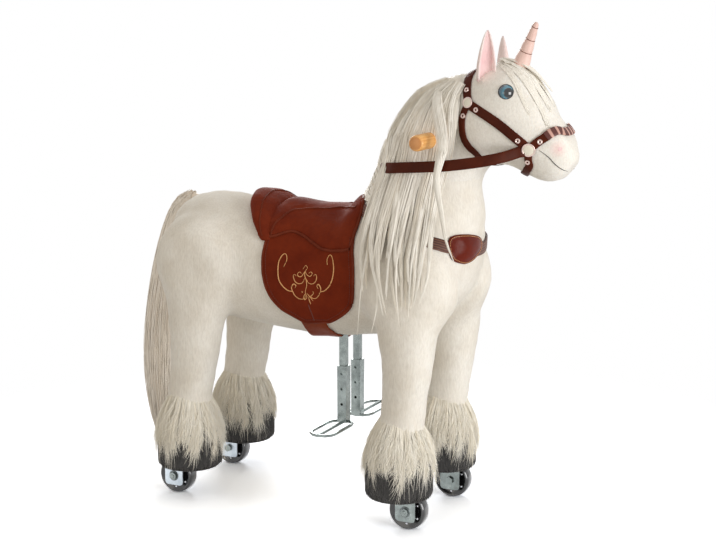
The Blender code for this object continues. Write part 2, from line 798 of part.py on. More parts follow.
def tie_bar():
    """The bar that carries the steering from the column's crank to both stems."""
    length = LEG_Y + ARM_HALF_WIDTH
    play = STEER_PIN_RADIUS + TIE_SLOT_PLAY
    outline = [(-TIE_HALF_WIDTH, -length), (TIE_HALF_WIDTH, -length), (TIE_HALF_WIDTH, length),
               (-TIE_HALF_WIDTH, length)]
    narrow = STEER_PIN_RADIUS + RUN_GAP
    slots = []
    for _, sign in SIDES:
        slot = slot_outline(narrow - play, play - narrow, narrow)
        slots.append([(x, y + sign * LEG_Y) for x, y in slot])
    x = SHOULDER_X + STEER_ARM
    bar = plate([outline] + slots, TIE_THICKNESS, Matrix.Translation((x, 0.0, tie_low() + TIE_THICKNESS / 2)))
    pin = rod((x, 0.0, tie_low() + TIE_THICKNESS / 2), (x, 0.0, tie_low() + TIE_THICKNESS + TIE_PIN_HEIGHT),
              STEER_PIN_RADIUS, SMALL_SIDES)
    return finish(join([bar, pin]), "tie_bar", ZINC, (x, 0.0, tie_low()))


def link_lug(x, z, direction):
    """An upright lug on a cross tube, with the pin that the sync rod turns on."""
    place = Matrix.Translation((x, LUG_LANE_Y, z)) @ Matrix.Rotation(math.pi / 2, 4, "X")
    place = place @ Matrix.Rotation(direction * math.pi / 2, 4, "Z")
    lug = plate([slot_outline(0.0, CRANK_REACH, LUG_RADIUS)], LUG_THICKNESS, place)
    end = Vector((x, LUG_LANE_Y, z + direction * CRANK_REACH))
    tip = Vector((end.x, ROD_LANE_Y + ROD_THICKNESS, end.z))
    return [lug, rod(end, tip, ROD_PIN_RADIUS, SMALL_SIDES)]


def spring_tab(x, z, direction):
    """A flat tab on a cross tube that presses on the top of a return spring."""
    half = SPRING_RADIUS + 2 * SPRING_WIRE
    reach = x + direction * (SPRING_ARM + half)
    low = (min(x, reach), SPRING_LANE_Y - half, z - SPRING_TAB / 2)
    high = (max(x, reach), SPRING_LANE_Y + half, z + SPRING_TAB / 2)
    return box(low, high)


def front_leg_frame():
    """Cross tube and leg tubes of the forelegs; the leg tubes are bearings for the stems."""
    top = SHOULDER_Z + LEG_TUBE_STAND
    pieces = [rod((SHOULDER_X, -LEG_Y, SHOULDER_Z), (SHOULDER_X, LEG_Y, SHOULDER_Z), LEG_TUBE_RADIUS)]
    bottom = crown_top() + TOUCH_GAP
    for _, sign in SIDES:
        pieces.append(rod((SHOULDER_X, sign * LEG_Y, bottom), (SHOULDER_X, sign * LEG_Y, top), LEG_TUBE_RADIUS))
    pieces += link_lug(SHOULDER_X, SHOULDER_Z, 1.0)
    pieces.append(spring_tab(SHOULDER_X, SHOULDER_Z, -1.0))
    made = join(pieces)
    for _, sign in SIDES:
        start = Vector((SHOULDER_X, sign * LEG_Y, bottom - OVERRUN))
        end = Vector((SHOULDER_X, sign * LEG_Y, top + OVERRUN))
        made = cut(made, [bore(start, end, STEM_RADIUS + RUN_GAP)])
    return finish(made, "front_leg_frame", FRAME_PAINT, (SHOULDER_X, 0.0, SHOULDER_Z))


def rear_foot():
    return HIP_X - REAR_FOOT_BACK


def rear_leg_frame():
    """Cross tube, leg tubes and welded wheel forks of the hind legs."""
    foot_x = rear_foot()
    wheel_x = foot_x - REAR_WHEEL_BACK
    pieces = [rod((HIP_X, -LEG_Y, HIP_Z), (HIP_X, LEG_Y, HIP_Z), LEG_TUBE_RADIUS)]
    for _, sign in SIDES:
        y = sign * LEG_Y
        pieces.append(rod((foot_x, y, crown_top() - FORK_CROWN / 2), (HIP_X, y, HIP_Z), LEG_TUBE_RADIUS))
        pieces.append(cut(fork_shape(foot_x, wheel_x, y), [axle_bore(wheel_x, y)]))
    pieces += link_lug(HIP_X, HIP_Z, -1.0)
    pieces.append(spring_tab(HIP_X, HIP_Z, 1.0))
    return finish(join(pieces), "rear_leg_frame", FRAME_PAINT, (HIP_X, 0.0, HIP_Z))


def sync_rod():
    """The flat rod that makes both pairs of legs open and close together."""
    front = Vector((SHOULDER_X, ROD_LANE_Y, SHOULDER_Z + CRANK_REACH))
    rear = Vector((HIP_X, ROD_LANE_Y, HIP_Z - CRANK_REACH))
    span = (front - rear).length
    slope = math.atan2(front.z - rear.z, front.x - rear.x)
    place = Matrix.Translation(rear) @ Matrix.Rotation(-slope, 4, "Y") @ Matrix.Rotation(math.pi / 2, 4, "X")
    eye = ROD_PIN_RADIUS + ROD_EYE_PLAY
    holes = [arc((end, 0.0), eye, 0.0, 360.0, SMALL_SIDES)[:-1] for end in (0.0, span)]
    made = plate([slot_outline(0.0, span, LUG_RADIUS)] + holes, ROD_THICKNESS, place)
    return finish(made, "sync_rod", ZINC, rear)


def spring_centre(x, direction):
    return x + direction * SPRING_ARM


def return_spring(name, pivot_x, pivot_z, direction):
    """A compression spring between a chassis seat and the tab above it."""
    top = pivot_z - SPRING_TAB / 2 - SPRING_WIRE - TOUCH_GAP
    bottom = pivot_z - SPRING_TAB / 2 - SPRING_LENGTH + SPRING_WIRE + TOUCH_GAP
    steps = 8
    points = []
    for i in range(SPRING_TURNS * steps + 1):
        share = i / (SPRING_TURNS * steps)
        angle = 2 * math.pi * i / steps
        points.append((spring_centre(pivot_x, direction) + SPRING_RADIUS * math.cos(angle),
                       SPRING_LANE_Y + SPRING_RADIUS * math.sin(angle), mix(bottom, top, share)))
    return finish(tube(points, SPRING_WIRE, 1), name, SPRING_STEEL)


def bearing(x, z):
    return rod((x, -BEARING_HALF, z), (x, BEARING_HALF, z), BEARING_RADIUS)


def spring_seat(pivot_x, pivot_z, direction):
    x = spring_centre(pivot_x, direction)
    seat_top = pivot_z - SPRING_TAB / 2 - SPRING_LENGTH
    half = SPRING_RADIUS + 2 * SPRING_WIRE
    hanger = box((x - half, -BEAM_HALF_WIDTH, seat_top - SPRING_SEAT),
                 (x + half, SPRING_SEAT - BEAM_HALF_WIDTH, mix(BEAM_BOTTOM, BEAM_TOP, 1 / 2)))
    shelf = box((x - half, SPRING_LANE_Y - half, seat_top - SPRING_SEAT),
                (x + half, SPRING_SEAT - BEAM_HALF_WIDTH, seat_top))
    return [hanger, shelf]


def chassis_frame():
    """Main beam with its two bearings, head tube, spring seats and saddle risers."""
    end = (BEARING_RADIUS + LEG_TUBE_RADIUS) / 2
    pieces = [box((HIP_X + end, -BEAM_HALF_WIDTH, BEAM_BOTTOM), (SHOULDER_X - end, BEAM_HALF_WIDTH, BEAM_TOP))]
    pieces += [bearing(SHOULDER_X, SHOULDER_Z), bearing(HIP_X, HIP_Z)]
    tube_low = SHOULDER_Z + HEAD_TUBE_BOTTOM
    tube_high = SHOULDER_Z + HEAD_TUBE_TOP
    pieces.append(rod((SHOULDER_X, 0.0, tube_low), (SHOULDER_X, 0.0, tube_high), HEAD_TUBE_RADIUS))
    crank_clear = SHOULDER_X - CRANK_HALF_WIDTH - HEAD_TUBE_RADIUS / 4
    inner = SHOULDER_X - (HEAD_TUBE_RADIUS + COLUMN_RADIUS) / 2
    foot = SHOULDER_X - 3 * CRANK_LENGTH / 2
    outline = [(foot, mix(BEAM_BOTTOM, BEAM_TOP, 3 / 4)), (crank_clear, mix(BEAM_BOTTOM, BEAM_TOP, 3 / 4)),
               (crank_clear, tube_low + GUSSET_THICKNESS / 2), (inner, tube_low + GUSSET_THICKNESS / 2),
               (inner, tube_high - GUSSET_THICKNESS), (crank_clear - GUSSET_THICKNESS, tube_high - GUSSET_THICKNESS)]
    place = Matrix.Rotation(math.pi / 2, 4, "X")
    pieces.append(plate([outline], GUSSET_THICKNESS, place))
    board_low = BEAM_TOP + BOARD_LIFT
    for x in (BOARD_REAR_X + 2 * RISER_HALF, BOARD_FRONT_X - 2 * RISER_HALF):
        pieces.append(box((x - RISER_HALF, -RISER_HALF, mix(BEAM_BOTTOM, BEAM_TOP, 3 / 4)),
                          (x + RISER_HALF, RISER_HALF, board_low - TOUCH_GAP)))
    pieces.append(box((POST_X - CROSSBAR_HALF, -CROSSBAR_HALF_LENGTH, BEAM_BOTTOM),
                      (POST_X + CROSSBAR_HALF, CROSSBAR_HALF_LENGTH, BEAM_BOTTOM + CROSSBAR_THICKNESS)))
    pieces += spring_seat(SHOULDER_X, SHOULDER_Z, -1.0)
    pieces += spring_seat(HIP_X, HIP_Z, 1.0)
    made = join(pieces)
    reach = BEARING_HALF + OVERRUN
    tools = [bore((x, -reach, z), (x, reach, z), LEG_TUBE_RADIUS + RUN_GAP)
             for x, z in ((SHOULDER_X, SHOULDER_Z), (HIP_X, HIP_Z))]
    tools.append(bore((SHOULDER_X, 0.0, tube_low - OVERRUN / 2), (SHOULDER_X, 0.0, tube_high + OVERRUN),
                      COLUMN_RADIUS + RUN_GAP))
    return finish(cut(made, tools), "chassis_frame", FRAME_PAINT)


def seat_board():
    low = BEAM_TOP + BOARD_LIFT
    made = box((BOARD_REAR_X, -BOARD_HALF_WIDTH, low), (BOARD_FRONT_X, BOARD_HALF_WIDTH, low + BOARD_THICKNESS))
    return finish(made, "seat_board", PLYWOOD)


def square(x, y, half, low, high):
    return box((x - half, y - half, low), (x + half, y + half, high))


def footrest_post(name, sign):
    y = sign * POST_Y
    made = square(POST_X, y, POST_SIDE / 2, POST_BOTTOM, BEAM_BOTTOM - TOUCH_GAP)
    return finish(made, name, ZINC)


def footrest(name, sign):
    """A height-adjusting sleeve with a wire footrest welded to its lower end."""
    y = sign * POST_Y
    centre = Vector((POST_X, y, SLEEVE_BOTTOM))
    sleeve = square(POST_X, y, SLEEVE_SIDE / 2, SLEEVE_BOTTOM, SLEEVE_TOP)
    start = sign * (FOOT_INNER_Y + FOOT_HALF_WIDTH)
    end = sign * (FOOT_OUTER_Y - FOOT_HALF_WIDTH)
    turn = 90.0 * sign
    outer = arc((POST_X, end), FOOT_HALF_WIDTH, turn - 90.0, turn + 90.0, 6)
    inner = arc((POST_X, start), FOOT_HALF_WIDTH, turn + 90.0, turn + 270.0, 6)
    wire = [(px, py, SLEEVE_BOTTOM) for px, py in outer + inner]
    loop = tube(wire, FOOT_WIRE, 1, cyclic=True)
    bar = rod((POST_X, sign * FOOT_INNER_Y, SLEEVE_BOTTOM), (POST_X, sign * FOOT_OUTER_Y, SLEEVE_BOTTOM),
              FOOT_WIRE, SMALL_SIDES)
    made = join([sleeve, loop, bar])
    tools = [square(POST_X, y, POST_SIDE / 2 + TOUCH_GAP, SLEEVE_BOTTOM + 2 * FOOT_WIRE, SLEEVE_TOP + OVERRUN)]
    for i in range(SLEEVE_HOLES):
        z = SLEEVE_TOP - SLEEVE_HOLE_STEP * (i + 1 / 2)
        tools.append(bore((POST_X, y - SLEEVE_SIDE, z), (POST_X, y + SLEEVE_SIDE, z), SLEEVE_HOLE_RADIUS, 8))
    return finish(cut(made, tools), name, ZINC, centre)


def leg_clearance(x, z, radius):
    """What the turning top of a pair of legs needs out of the body, left and right."""
    outer = BODY_HALF_WIDTH + OVERRUN
    return [rod((x, sign * KEEL_HALF, z), (x, sign * outer, z), radius + LEG_CUT_PLAY, PUCK_SIDES)
            for _, sign in SIDES]


def slot_box(low=None, high=SLOT_TOP, shrink=0.0):
    floor = BELLY_Z - OVERRUN if low is None else low
    half = SLOT_HALF - shrink
    return box((SLOT_REAR_X + shrink, -half, floor), (SLOT_FRONT_X - shrink, half, high))


def torso():
    """The stuffed body, with a flat top under the neck and a slot for the mechanism."""
    made = body_solid()
    tools = [box((NECK_BASE_X - 2 * NECK_HALF_DEPTH, -BODY_HALF_WIDTH, NECK_PLANE_Z),
                 (NECK_BASE_X + 2 * NECK_HALF_DEPTH, BODY_HALF_WIDTH, NECK_PLANE_Z + BODY_HEIGHT))]
    tools += leg_clearance(SHOULDER_X, SHOULDER_Z, SHOULDER_RADIUS)
    tools += leg_clearance(HIP_X, HIP_Z, HIP_RADIUS)
    tools.append(slot_box())
    tools.append(box((TOWER_REAR_X, -TOWER_HALF, BEAM_TOP), (SLOT_FRONT_X - TOUCH_GAP, TOWER_HALF, TOWER_TOP)))
    tools.append(bore((SHOULDER_X, 0.0, BEAM_TOP), (SHOULDER_X, 0.0, NECK_PLANE_Z + OVERRUN),
                      COLUMN_RADIUS + TUBE_HOLE_PLAY))
    for x, z in ((SHOULDER_X, SHOULDER_Z), (HIP_X, HIP_Z)):
        reach = KEEL_HALF + OVERRUN
        tools.append(bore((x, -reach, z), (x, reach, z), LEG_TUBE_RADIUS + TUBE_HOLE_PLAY))
    tie_x = SHOULDER_X + STEER_ARM
    tools.append(box((tie_x - 2 * STEER_ARM, -KEEL_HALF - OVERRUN, tie_low() - TIE_THICKNESS),
                     (SLOT_FRONT_X - 2 * TOUCH_GAP, KEEL_HALF + OVERRUN, tie_low() + 5 * TIE_THICKNESS)))
    return finish(cut(made, tools), "torso_plush", PLUSH_WHITE)


def belly_panel():
    """The closing panel of the belly slot, following the belly's curve."""
    made = combine(body_solid(), slot_box(high=BEAM_BOTTOM - OVERRUN / 2, shrink=TOUCH_GAP), "INTERSECT")
    made = cut(made, [body_solid(lift=PANEL_THICKNESS)])
    for _, sign in SIDES:
        half = POST_SIDE / 2 + POST_HOLE_PLAY
        made = cut(made, [square(POST_X, sign * POST_Y, half, BELLY_Z - OVERRUN, BEAM_BOTTOM)])
    return finish(made, "belly_panel", PLUSH_WHITE)


def puck(x, z, radius, outer_y):
    """The crowned, turning top of a plush leg."""
    depth = outer_y - LEG_INNER_Y
    shares = ((0.0, 1.0), (0.45, 0.97), (0.75, 0.84), (0.92, 0.62), (1.0, 0.34), (0.97, 0.0), (0.0, 0.0))
    profile = [(radius * reach, depth * height) for reach, height in shares]
    return turned(profile, PUCK_SIDES, Vector((x, LEG_INNER_Y, z)), ALONG_Y)


def mirrored(made):
    """The same shape on the other side of the animal."""
    made.data.transform(Matrix.Diagonal((1.0, -1.0, 1.0, 1.0)))
    made.data.flip_normals()
    return made


def leg_plush(name, sign, pivot, puck_size, foot_x, half_depth, tools):
    """A stuffed leg: a crowned top that turns in the body, and a tapering shank."""
    pivot_x, pivot_z = pivot
    radius, outer_y = puck_size
    rings = []
    shares = ((0.0, 1.0, 0.97), (0.30, 0.97, 0.95), (0.58, 1.03, 0.98), (0.86, 1.18, 0.96), (1.05, 1.10, 0.80))
    top = pivot_z - radius / 2
    for rise, depth, width in shares:
        z = mix(LEG_BOTTOM, top, rise)
        x = mix(foot_x, pivot_x, (z - crown_top()) / (pivot_z - crown_top()))
        ring = []
        for i in range(NECK_SIDES):
            up, side = oval_point(360.0 * i / NECK_SIDES, depth * half_depth, width * LEG_HALF_WIDTH)
            ring.append(Vector((x + up, LEG_Y + side, z)))
        rings.append(ring)
    made = combine(puck(pivot_x, pivot_z, radius, outer_y), loft(rings), "UNION")
    made = cut(made, tools)
    if sign < 0:
        made = mirrored(made)
    return finish(made, name, PLUSH_WHITE, (pivot_x, 0.0, pivot_z))


def tube_bore(pivot, foot_x, y):
    """A cutter along a leg tube, from below the hoof to the pivot."""
    x, z = pivot
    foot_z = crown_top()
    slope = (x - foot_x) / (z - foot_z)
    low = HOOF_BOTTOM - OVERRUN
    return bore((foot_x + slope * (low - foot_z), y, low), (x, y, z), LEG_TUBE_RADIUS + TOUCH_GAP)


def tube_bores(pivot, foot_x, y, inner):
    """Cutters for a leg tube, its top end and its half of the cross tube."""
    x, z = pivot
    clear = LEG_TUBE_RADIUS + TOUCH_GAP
    top = bore((x, y, z - LEG_TUBE_RADIUS), (x, y, z + LEG_TUBE_STAND + 2 * TOUCH_GAP), clear)
    across = bore((x, inner, z), (x, y, z), clear)
    return [tube_bore(pivot, foot_x, y), top, across]


def fore_leg(name, sign):
    pivot = (SHOULDER_X, SHOULDER_Z)
    tools = tube_bores(pivot, SHOULDER_X, LEG_Y, 0.0)
    swing = STEER_ARM * math.radians(STEER_DEG)
    reach = LEG_Y + ARM_HALF_WIDTH + swing + 3 * TUBE_HOLE_PLAY
    low = SHOULDER_Z + LEG_TUBE_STAND - TOUCH_GAP
    side_play = ARM_HALF_WIDTH + 2 * TUBE_HOLE_PLAY
    tools.append(box((SHOULDER_X - side_play, KEEL_HALF, low),
                     (SHOULDER_X + STEER_ARM + side_play, reach, tie_low() + 3 * TIE_THICKNESS)))
    return leg_plush(name, sign, pivot, (SHOULDER_RADIUS, SHOULDER_OUTER_Y), SHOULDER_X, FORE_HALF_DEPTH, tools)


def hind_leg(name, sign):
    pivot = (HIP_X, HIP_Z)
    tools = tube_bores(pivot, rear_foot(), LEG_Y, 0.0)
    return leg_plush(name, sign, pivot, (HIP_RADIUS, HIP_OUTER_Y), rear_foot(), HIND_HALF_DEPTH, tools)


def cuff(name, x, y, pivot, foot_x):
    """A thick fur cuff over the fetlock."""
    height = LEG_BOTTOM - TOUCH_GAP - CUFF_BOTTOM
    shares = ((0.0, 1.0), (CUFF_TOP_RADIUS / CUFF_RADIUS, 1.0), (0.86, 0.66), (1.0, 0.30), (0.92, 0.0), (0.0, 0.0))
    profile = [(CUFF_RADIUS * reach, height * rise) for reach, rise in shares]
    made = turned(profile, NECK_SIDES, Vector((x, y, CUFF_BOTTOM)), ALONG_Z)
    made = cut(made, [tube_bore(pivot, foot_x, y)])
    return finish(made, name, FUR_CREAM, (pivot[0], 0.0, pivot[1]))


def hoof(name, x, y, pivot, foot_x, recess_x, recess_radius):
    """A black plush hoof, hollow underneath for the fork and the wheel."""
    height = CUFF_BOTTOM - TOUCH_GAP - HOOF_BOTTOM
    profile = [(0.0, height), (HOOF_TOP_RADIUS, height), (HOOF_RADIUS, 0.0), (0.0, 0.0)]
    made = turned(profile, NECK_SIDES, Vector((x, y, HOOF_BOTTOM)), ALONG_Z)
    recess = bore((recess_x, y, HOOF_BOTTOM - OVERRUN), (recess_x, y, RECESS_TOP), recess_radius, NECK_SIDES)
    made = cut(made, [recess, tube_bore(pivot, foot_x, y)])
    return finish(made, name, PLUSH_BLACK, (pivot[0], 0.0, pivot[1]))


def column_path():
    """The steering column's centre line, from the crank to the handle."""
    low = SHOULDER_Z + CRANK_LIFT
    lean = Vector((DOWEL_X - SHOULDER_X, 0.0, DOWEL_Z - COLUMN_BEND_Z))
    bend = Vector((SHOULDER_X, 0.0, COLUMN_BEND_Z))
    return [Vector((SHOULDER_X, 0.0, low)), bend - ALONG_Z * 2 * COLUMN_RADIUS, bend + lean / 6,
            bend + lean * 5 / 6]


def steering_column():
    """Crank, column and handle clamp, in one welded piece."""
    clamp = [Vector((DOWEL_X, sign * CLAMP_HALF, DOWEL_Z)) for sign in (-1.0, 1.0)]
    crank_z = SHOULDER_Z + CRANK_LIFT + CRANK_THICKNESS / 2
    slot = slot_outline(CRANK_SLOT_INNER + CRANK_SLOT_PLAY, CRANK_SLOT_OUTER - CRANK_SLOT_PLAY,
                        STEER_PIN_RADIUS + CRANK_SLOT_PLAY)
    crank = plate([slot_outline(0.0, CRANK_LENGTH - CRANK_HALF_WIDTH / 2, CRANK_HALF_WIDTH), slot],
                  CRANK_THICKNESS, Matrix.Translation((SHOULDER_X, 0.0, crank_z)))
    made = join([tube(column_path(), COLUMN_RADIUS), crank, rod(clamp[0], clamp[1], CLAMP_RADIUS)])
    reach = ALONG_Y * OVERRUN
    made = cut(made, [bore(clamp[0] - reach, clamp[1] + reach, DOWEL_RADIUS + TOUCH_GAP)])
    return finish(made, "steering_column", ZINC, (SHOULDER_X, 0.0, NECK_PLANE_Z))


def handle_dowel():
    profile = [(0.0, DOWEL_HALF_LENGTH), (DOWEL_RADIUS - DOWEL_CHAMFER, DOWEL_HALF_LENGTH),
               (DOWEL_RADIUS, DOWEL_HALF_LENGTH - DOWEL_CHAMFER), (DOWEL_RADIUS, DOWEL_CHAMFER - DOWEL_HALF_LENGTH),
               (DOWEL_RADIUS - DOWEL_CHAMFER, -DOWEL_HALF_LENGTH), (0.0, -DOWEL_HALF_LENGTH)]
    made = turned(profile, ROUND_SIDES, Vector((DOWEL_X, 0.0, DOWEL_Z)), ALONG_Y)
    return finish(made, "handle_dowel", BEECH, (SHOULDER_X, 0.0, NECK_PLANE_Z))


def dowel_bore():
    start = Vector((DOWEL_X, -DOWEL_HALF_LENGTH - OVERRUN, DOWEL_Z))
    return bore(start, start + ALONG_Y * 2 * (DOWEL_HALF_LENGTH + OVERRUN), DOWEL_RADIUS + TOUCH_GAP)


def neck_plush():
    made = loft(neck_rings(0, HEAD_ROW))
    clear = 2 * TOUCH_GAP
    lift = box((NECK_BASE_X - 2 * NECK_HALF_DEPTH, -BODY_HALF_WIDTH, NECK_PLANE_Z - OVERRUN),
               (NECK_BASE_X + 2 * NECK_HALF_DEPTH, BODY_HALF_WIDTH, NECK_PLANE_Z + TOUCH_GAP))
    channel = tube([column_path()[0], *column_path()[1:]], COLUMN_RADIUS + clear)
    clamp = rod((DOWEL_X, -CLAMP_HALF - clear, DOWEL_Z), (DOWEL_X, CLAMP_HALF + clear, DOWEL_Z),
                CLAMP_RADIUS + clear)
    made = cut(made, [lift, channel, clamp, dowel_bore()])
    return finish(made, "neck_plush", PLUSH_WHITE, (SHOULDER_X, 0.0, NECK_PLANE_Z))


def horn_shape(offset=0.0):
    base = Vector((HORN_X, 0.0, HORN_Z))
    along = (Vector((HORN_TIP_X, 0.0, HORN_TIP_Z)) - base).normalized()
    return rod(base - along * (HORN_ROOT + offset), Vector((HORN_TIP_X, 0.0, HORN_TIP_Z)) + along * offset,
               HORN_RADIUS + offset, SMALL_SIDES, HORN_TIP_RADIUS + offset)


def ear_shape(sign, offset=0.0):
    rings = []
    for rise, depth, width in EAR_SHARES:
        ring = []
        for i in range(SMALL_SIDES):
            up, side = oval_point(360.0 * i / SMALL_SIDES, depth * EAR_HALF_DEPTH + offset,
                                  width * EAR_HALF_WIDTH + offset)
            z = EAR_ROOT_Z + EAR_HEIGHT * rise - (offset if rise == 0 else 0.0)
            ring.append(Vector((EAR_X + EAR_LEAN * rise + up, sign * (EAR_Y + EAR_LEAN * rise) + side, z)))
        rings.append(ring)
    return loft(rings)


def eye_shape(sign, offset=0.0):
    bm = bmesh.new()
    bmesh.ops.create_uvsphere(bm, u_segments=SMALL_SIDES, v_segments=8, radius=EYE_RADIUS + offset,
                              matrix=Matrix.Translation((EYE_X, sign * EYE_Y, EYE_Z)))
    return from_bmesh(bm)


def head_plush():
    """The stuffed head, with seats for the horn, the ears and the eyes."""
    rings = neck_rings(HEAD_ROW, len(NECK_SHARES) - 1)
    centre, crest, _, _ = neck_row(HEAD_ROW)
    forward = Vector((crest.z, 0.0, -crest.x))
    rings[0] = [point + forward * TOUCH_GAP for point in rings[0]]
    clear = 2 * TOUCH_GAP
    tools = [horn_shape(clear)]
    for _, sign in SIDES:
        tools += [ear_shape(sign, clear), eye_shape(sign, clear)]
    return finish(cut(loft(rings), tools), "head_plush", PLUSH_WHITE, (SHOULDER_X, 0.0, NECK_PLANE_Z))


def surface_run(rows_and_angles):
    """Points and outward normals along a path over the neck and head."""
    points = []
    normals = []
    for row, angle in rows_and_angles:
        ahead = neck_point(row + NORMAL_STEP_SHARE, angle) - neck_point(row - NORMAL_STEP_SHARE, angle)
        turn = NORMAL_STEP_SHARE * 90.0
        round_way = neck_point(row, angle + turn) - neck_point(row, angle - turn)
        points.append(neck_point(row, angle))
        normals.append(round_way.cross(ahead).normalized())
    return points, normals


def head_loop(top_row, throat_row, count):
    """A closed path round the head, further forward under the throat."""
    path = []
    for i in range(count):
        angle = 360.0 * i / count
        path.append((mix(top_row, throat_row, (1 - math.cos(math.radians(angle))) / 2), angle))
    return surface_run(path)


def noseband():
    points, normals = head_loop(NOSEBAND_ROW, NOSEBAND_ROW, NECK_SIDES)
    made = strap(points, normals, STRAP_WIDTH, STRAP_THICKNESS, CLOTH_GAP, closed=True)
    return finish(made, "noseband", STRAP_BROWN, (SHOULDER_X, 0.0, NECK_PLANE_Z))


def headstall():
    """Crown and throat strap round the head, with a cheek strap down each side."""
    points, normals = head_loop(HEADSTALL_ROW, THROAT_ROW, 24)
    pieces = [strap(points, normals, STRAP_WIDTH, STRAP_THICKNESS, CLOTH_GAP + 2 * RUN_GAP, closed=True)]
    steps = 6
    for _, sign in SIDES:
        path = []
        for i in range(steps + 1):
            share = i / steps
            path.append((mix(HEADSTALL_ROW, CHEEK_END_ROW, share),
                         -sign * mix(CHEEK_START_DEG, CHEEK_END_DEG, share)))
        points, normals = surface_run(path)
        pieces.append(strap(points, normals, STRAP_WIDTH, STRAP_THICKNESS, CLOTH_GAP + 3 * RUN_GAP))
    return finish(join(pieces), "headstall", STRAP_BROWN, (SHOULDER_X, 0.0, NECK_PLANE_Z))


def bit_place(sign):
    points, normals = surface_run([(BIT_ROW, -sign * BIT_DEG)])
    lift = CLOTH_GAP + STRAP_THICKNESS + 2 * TOUCH_GAP + RING_WIRE
    return points[0] + normals[0] * lift, normals[0]


def bit_ring(name, sign):
    place, normal = bit_place(sign)
    turn = facing(normal)
    ring = [place + turn @ Vector((x, y, 0.0)) for x, y in arc((0.0, 0.0), RING_RADIUS, 0.0, 360.0, 16)[:-1]]
    return finish(tube(ring, RING_WIRE, 1, cyclic=True), name, ZINC, (SHOULDER_X, 0.0, NECK_PLANE_Z))


def rein_run():
    """From the right ring, round behind the neck, to the left ring."""
    lift = REIN_GAP + STRAP_THICKNESS
    points = []
    normals = []
    for i in range(REIN_POINTS):
        angle = mix(REIN_FRONT_DEG, -REIN_FRONT_DEG, i / (REIN_POINTS - 1))
        row = mix(REIN_LOW_ROW, REIN_HIGH_ROW, abs(angle) / REIN_FRONT_DEG)
        place, normal = surface_run([(row, angle)])
        points += place
        normals += normal
    for end, sign in ((0, -1.0), (-1, 1.0)):
        ring, normal = bit_place(sign)
        back = (points[end] - ring).normalized()
        start = ring + back * (RING_RADIUS + 2 * RING_WIRE) - normal * lift
        half_way = (start + points[end]) / 2 + ALONG_Y * sign * STRAP_WIDTH
        new_points = [start, half_way]
        new_normals = [normal, (normal + normals[end]).normalized()]
        if end == 0:
            points = new_points + points
            normals = new_normals + normals
        else:
            points = points + new_points[::-1]
            normals = normals + new_normals[::-1]
    return points, normals


def rein(offset=0.0):
    points, normals = rein_run()
    return strap(points, normals, REIN_WIDTH + offset, STRAP_THICKNESS + offset, REIN_GAP - offset / 2)


def mane():
    """The hair that lies over the crest and down the right of the neck."""
    def place(u, v):
        return neck_point(mix(0.0, MANE_TOP_ROW, u), mix(MANE_START_DEG, MANE_END_DEG, v), CLOTH_GAP)

    centre = neck_row(MANE_TOP_ROW / 2)[0]
    made = cushion(place, 8, 8, MANE_THICKNESS, centre, dome, MANE_RIM_SHARE)
    floor = box((NECK_BASE_X - 2 * NECK_HALF_DEPTH, -2 * BODY_HALF_WIDTH, NECK_PLANE_Z - 2 * OVERRUN),
                (NECK_BASE_X + 2 * NECK_HALF_DEPTH, BODY_HALF_WIDTH, NECK_PLANE_Z + TOUCH_GAP))
    made = cut(made, [floor, dowel_bore(), rein(2 * RUN_GAP)])
    return finish(made, "mane", FUR_CREAM, (SHOULDER_X, 0.0, NECK_PLANE_Z))


def mane_fall():
    """The long locks that hang over the right shoulder."""
    rings = []
    height = NECK_PLANE_Z - FALL_BOTTOM
    for drop, back, out, length, thickness in FALL_SHARES:
        ring = []
        for i in range(SMALL_SIDES):
            up, side = oval_point(360.0 * i / SMALL_SIDES, length * FALL_HALF_LENGTH,
                                  thickness * FALL_HALF_THICKNESS)
            ring.append(Vector((FALL_X - FALL_DRIFT * back + up, -FALL_Y - FALL_SPREAD * out + side,
                                NECK_PLANE_Z - height * drop)))
        rings.append(ring)
    return finish(loft(rings), "mane_fall", FUR_CREAM)


def tail():
    rings = []
    for back, drop, depth, width, turn in TAIL_SHARES:
        centre = Vector((TAIL_ROOT_X - TAIL_REACH * back, 0.0, TAIL_TOP_Z - TAIL_LENGTH * drop))
        lean = math.radians(turn)
        across = Vector((-math.sin(lean), 0.0, -math.cos(lean)))
        ring = []
        for i in range(SMALL_SIDES):
            up, side = oval_point(360.0 * i / SMALL_SIDES, depth * TAIL_HALF_DEPTH, width * TAIL_HALF_WIDTH)
            ring.append(centre + across * up + ALONG_Y * side)
        rings.append(ring)
    made = cut(loft(rings), [body_solid(2 * TOUCH_GAP)])
    return finish(made, "tail", FUR_CREAM)


def saddle_flap(name, sign):
    """Half of the saddle cloth: from the spine down to a round lower edge."""
    foot_half = GIRTH_HALF_WIDTH + CLOTH_GAP

    def place(u, v):
        low = max(v - (1 - FLAP_ROUND_SHARE), 0.0) / FLAP_ROUND_SHARE
        wide = math.sqrt(1 - low ** 2)
        spread = min(max(4 * (v - FLAP_WIDE_SHARE), 0.0), 1.0)
        front = mix(FLAP_TOP_FRONT_X, FLAP_FRONT_X, spread)
        x = mix(mix(GIRTH_X - foot_half, FLAP_REAR_X, wide), mix(GIRTH_X + foot_half, front, wide), u)
        return body_point(x, -sign * mix(GIRTH_GAP_DEG, FLAP_BOTTOM_DEG, v), CLOTH_GAP)

    inside = (GIRTH_X, 0.0, BELLY_Z + BODY_HEIGHT / 2)
    return finish(cushion(place, 6, 12, FLAP_THICKNESS, inside), name, LEATHER_DARK)


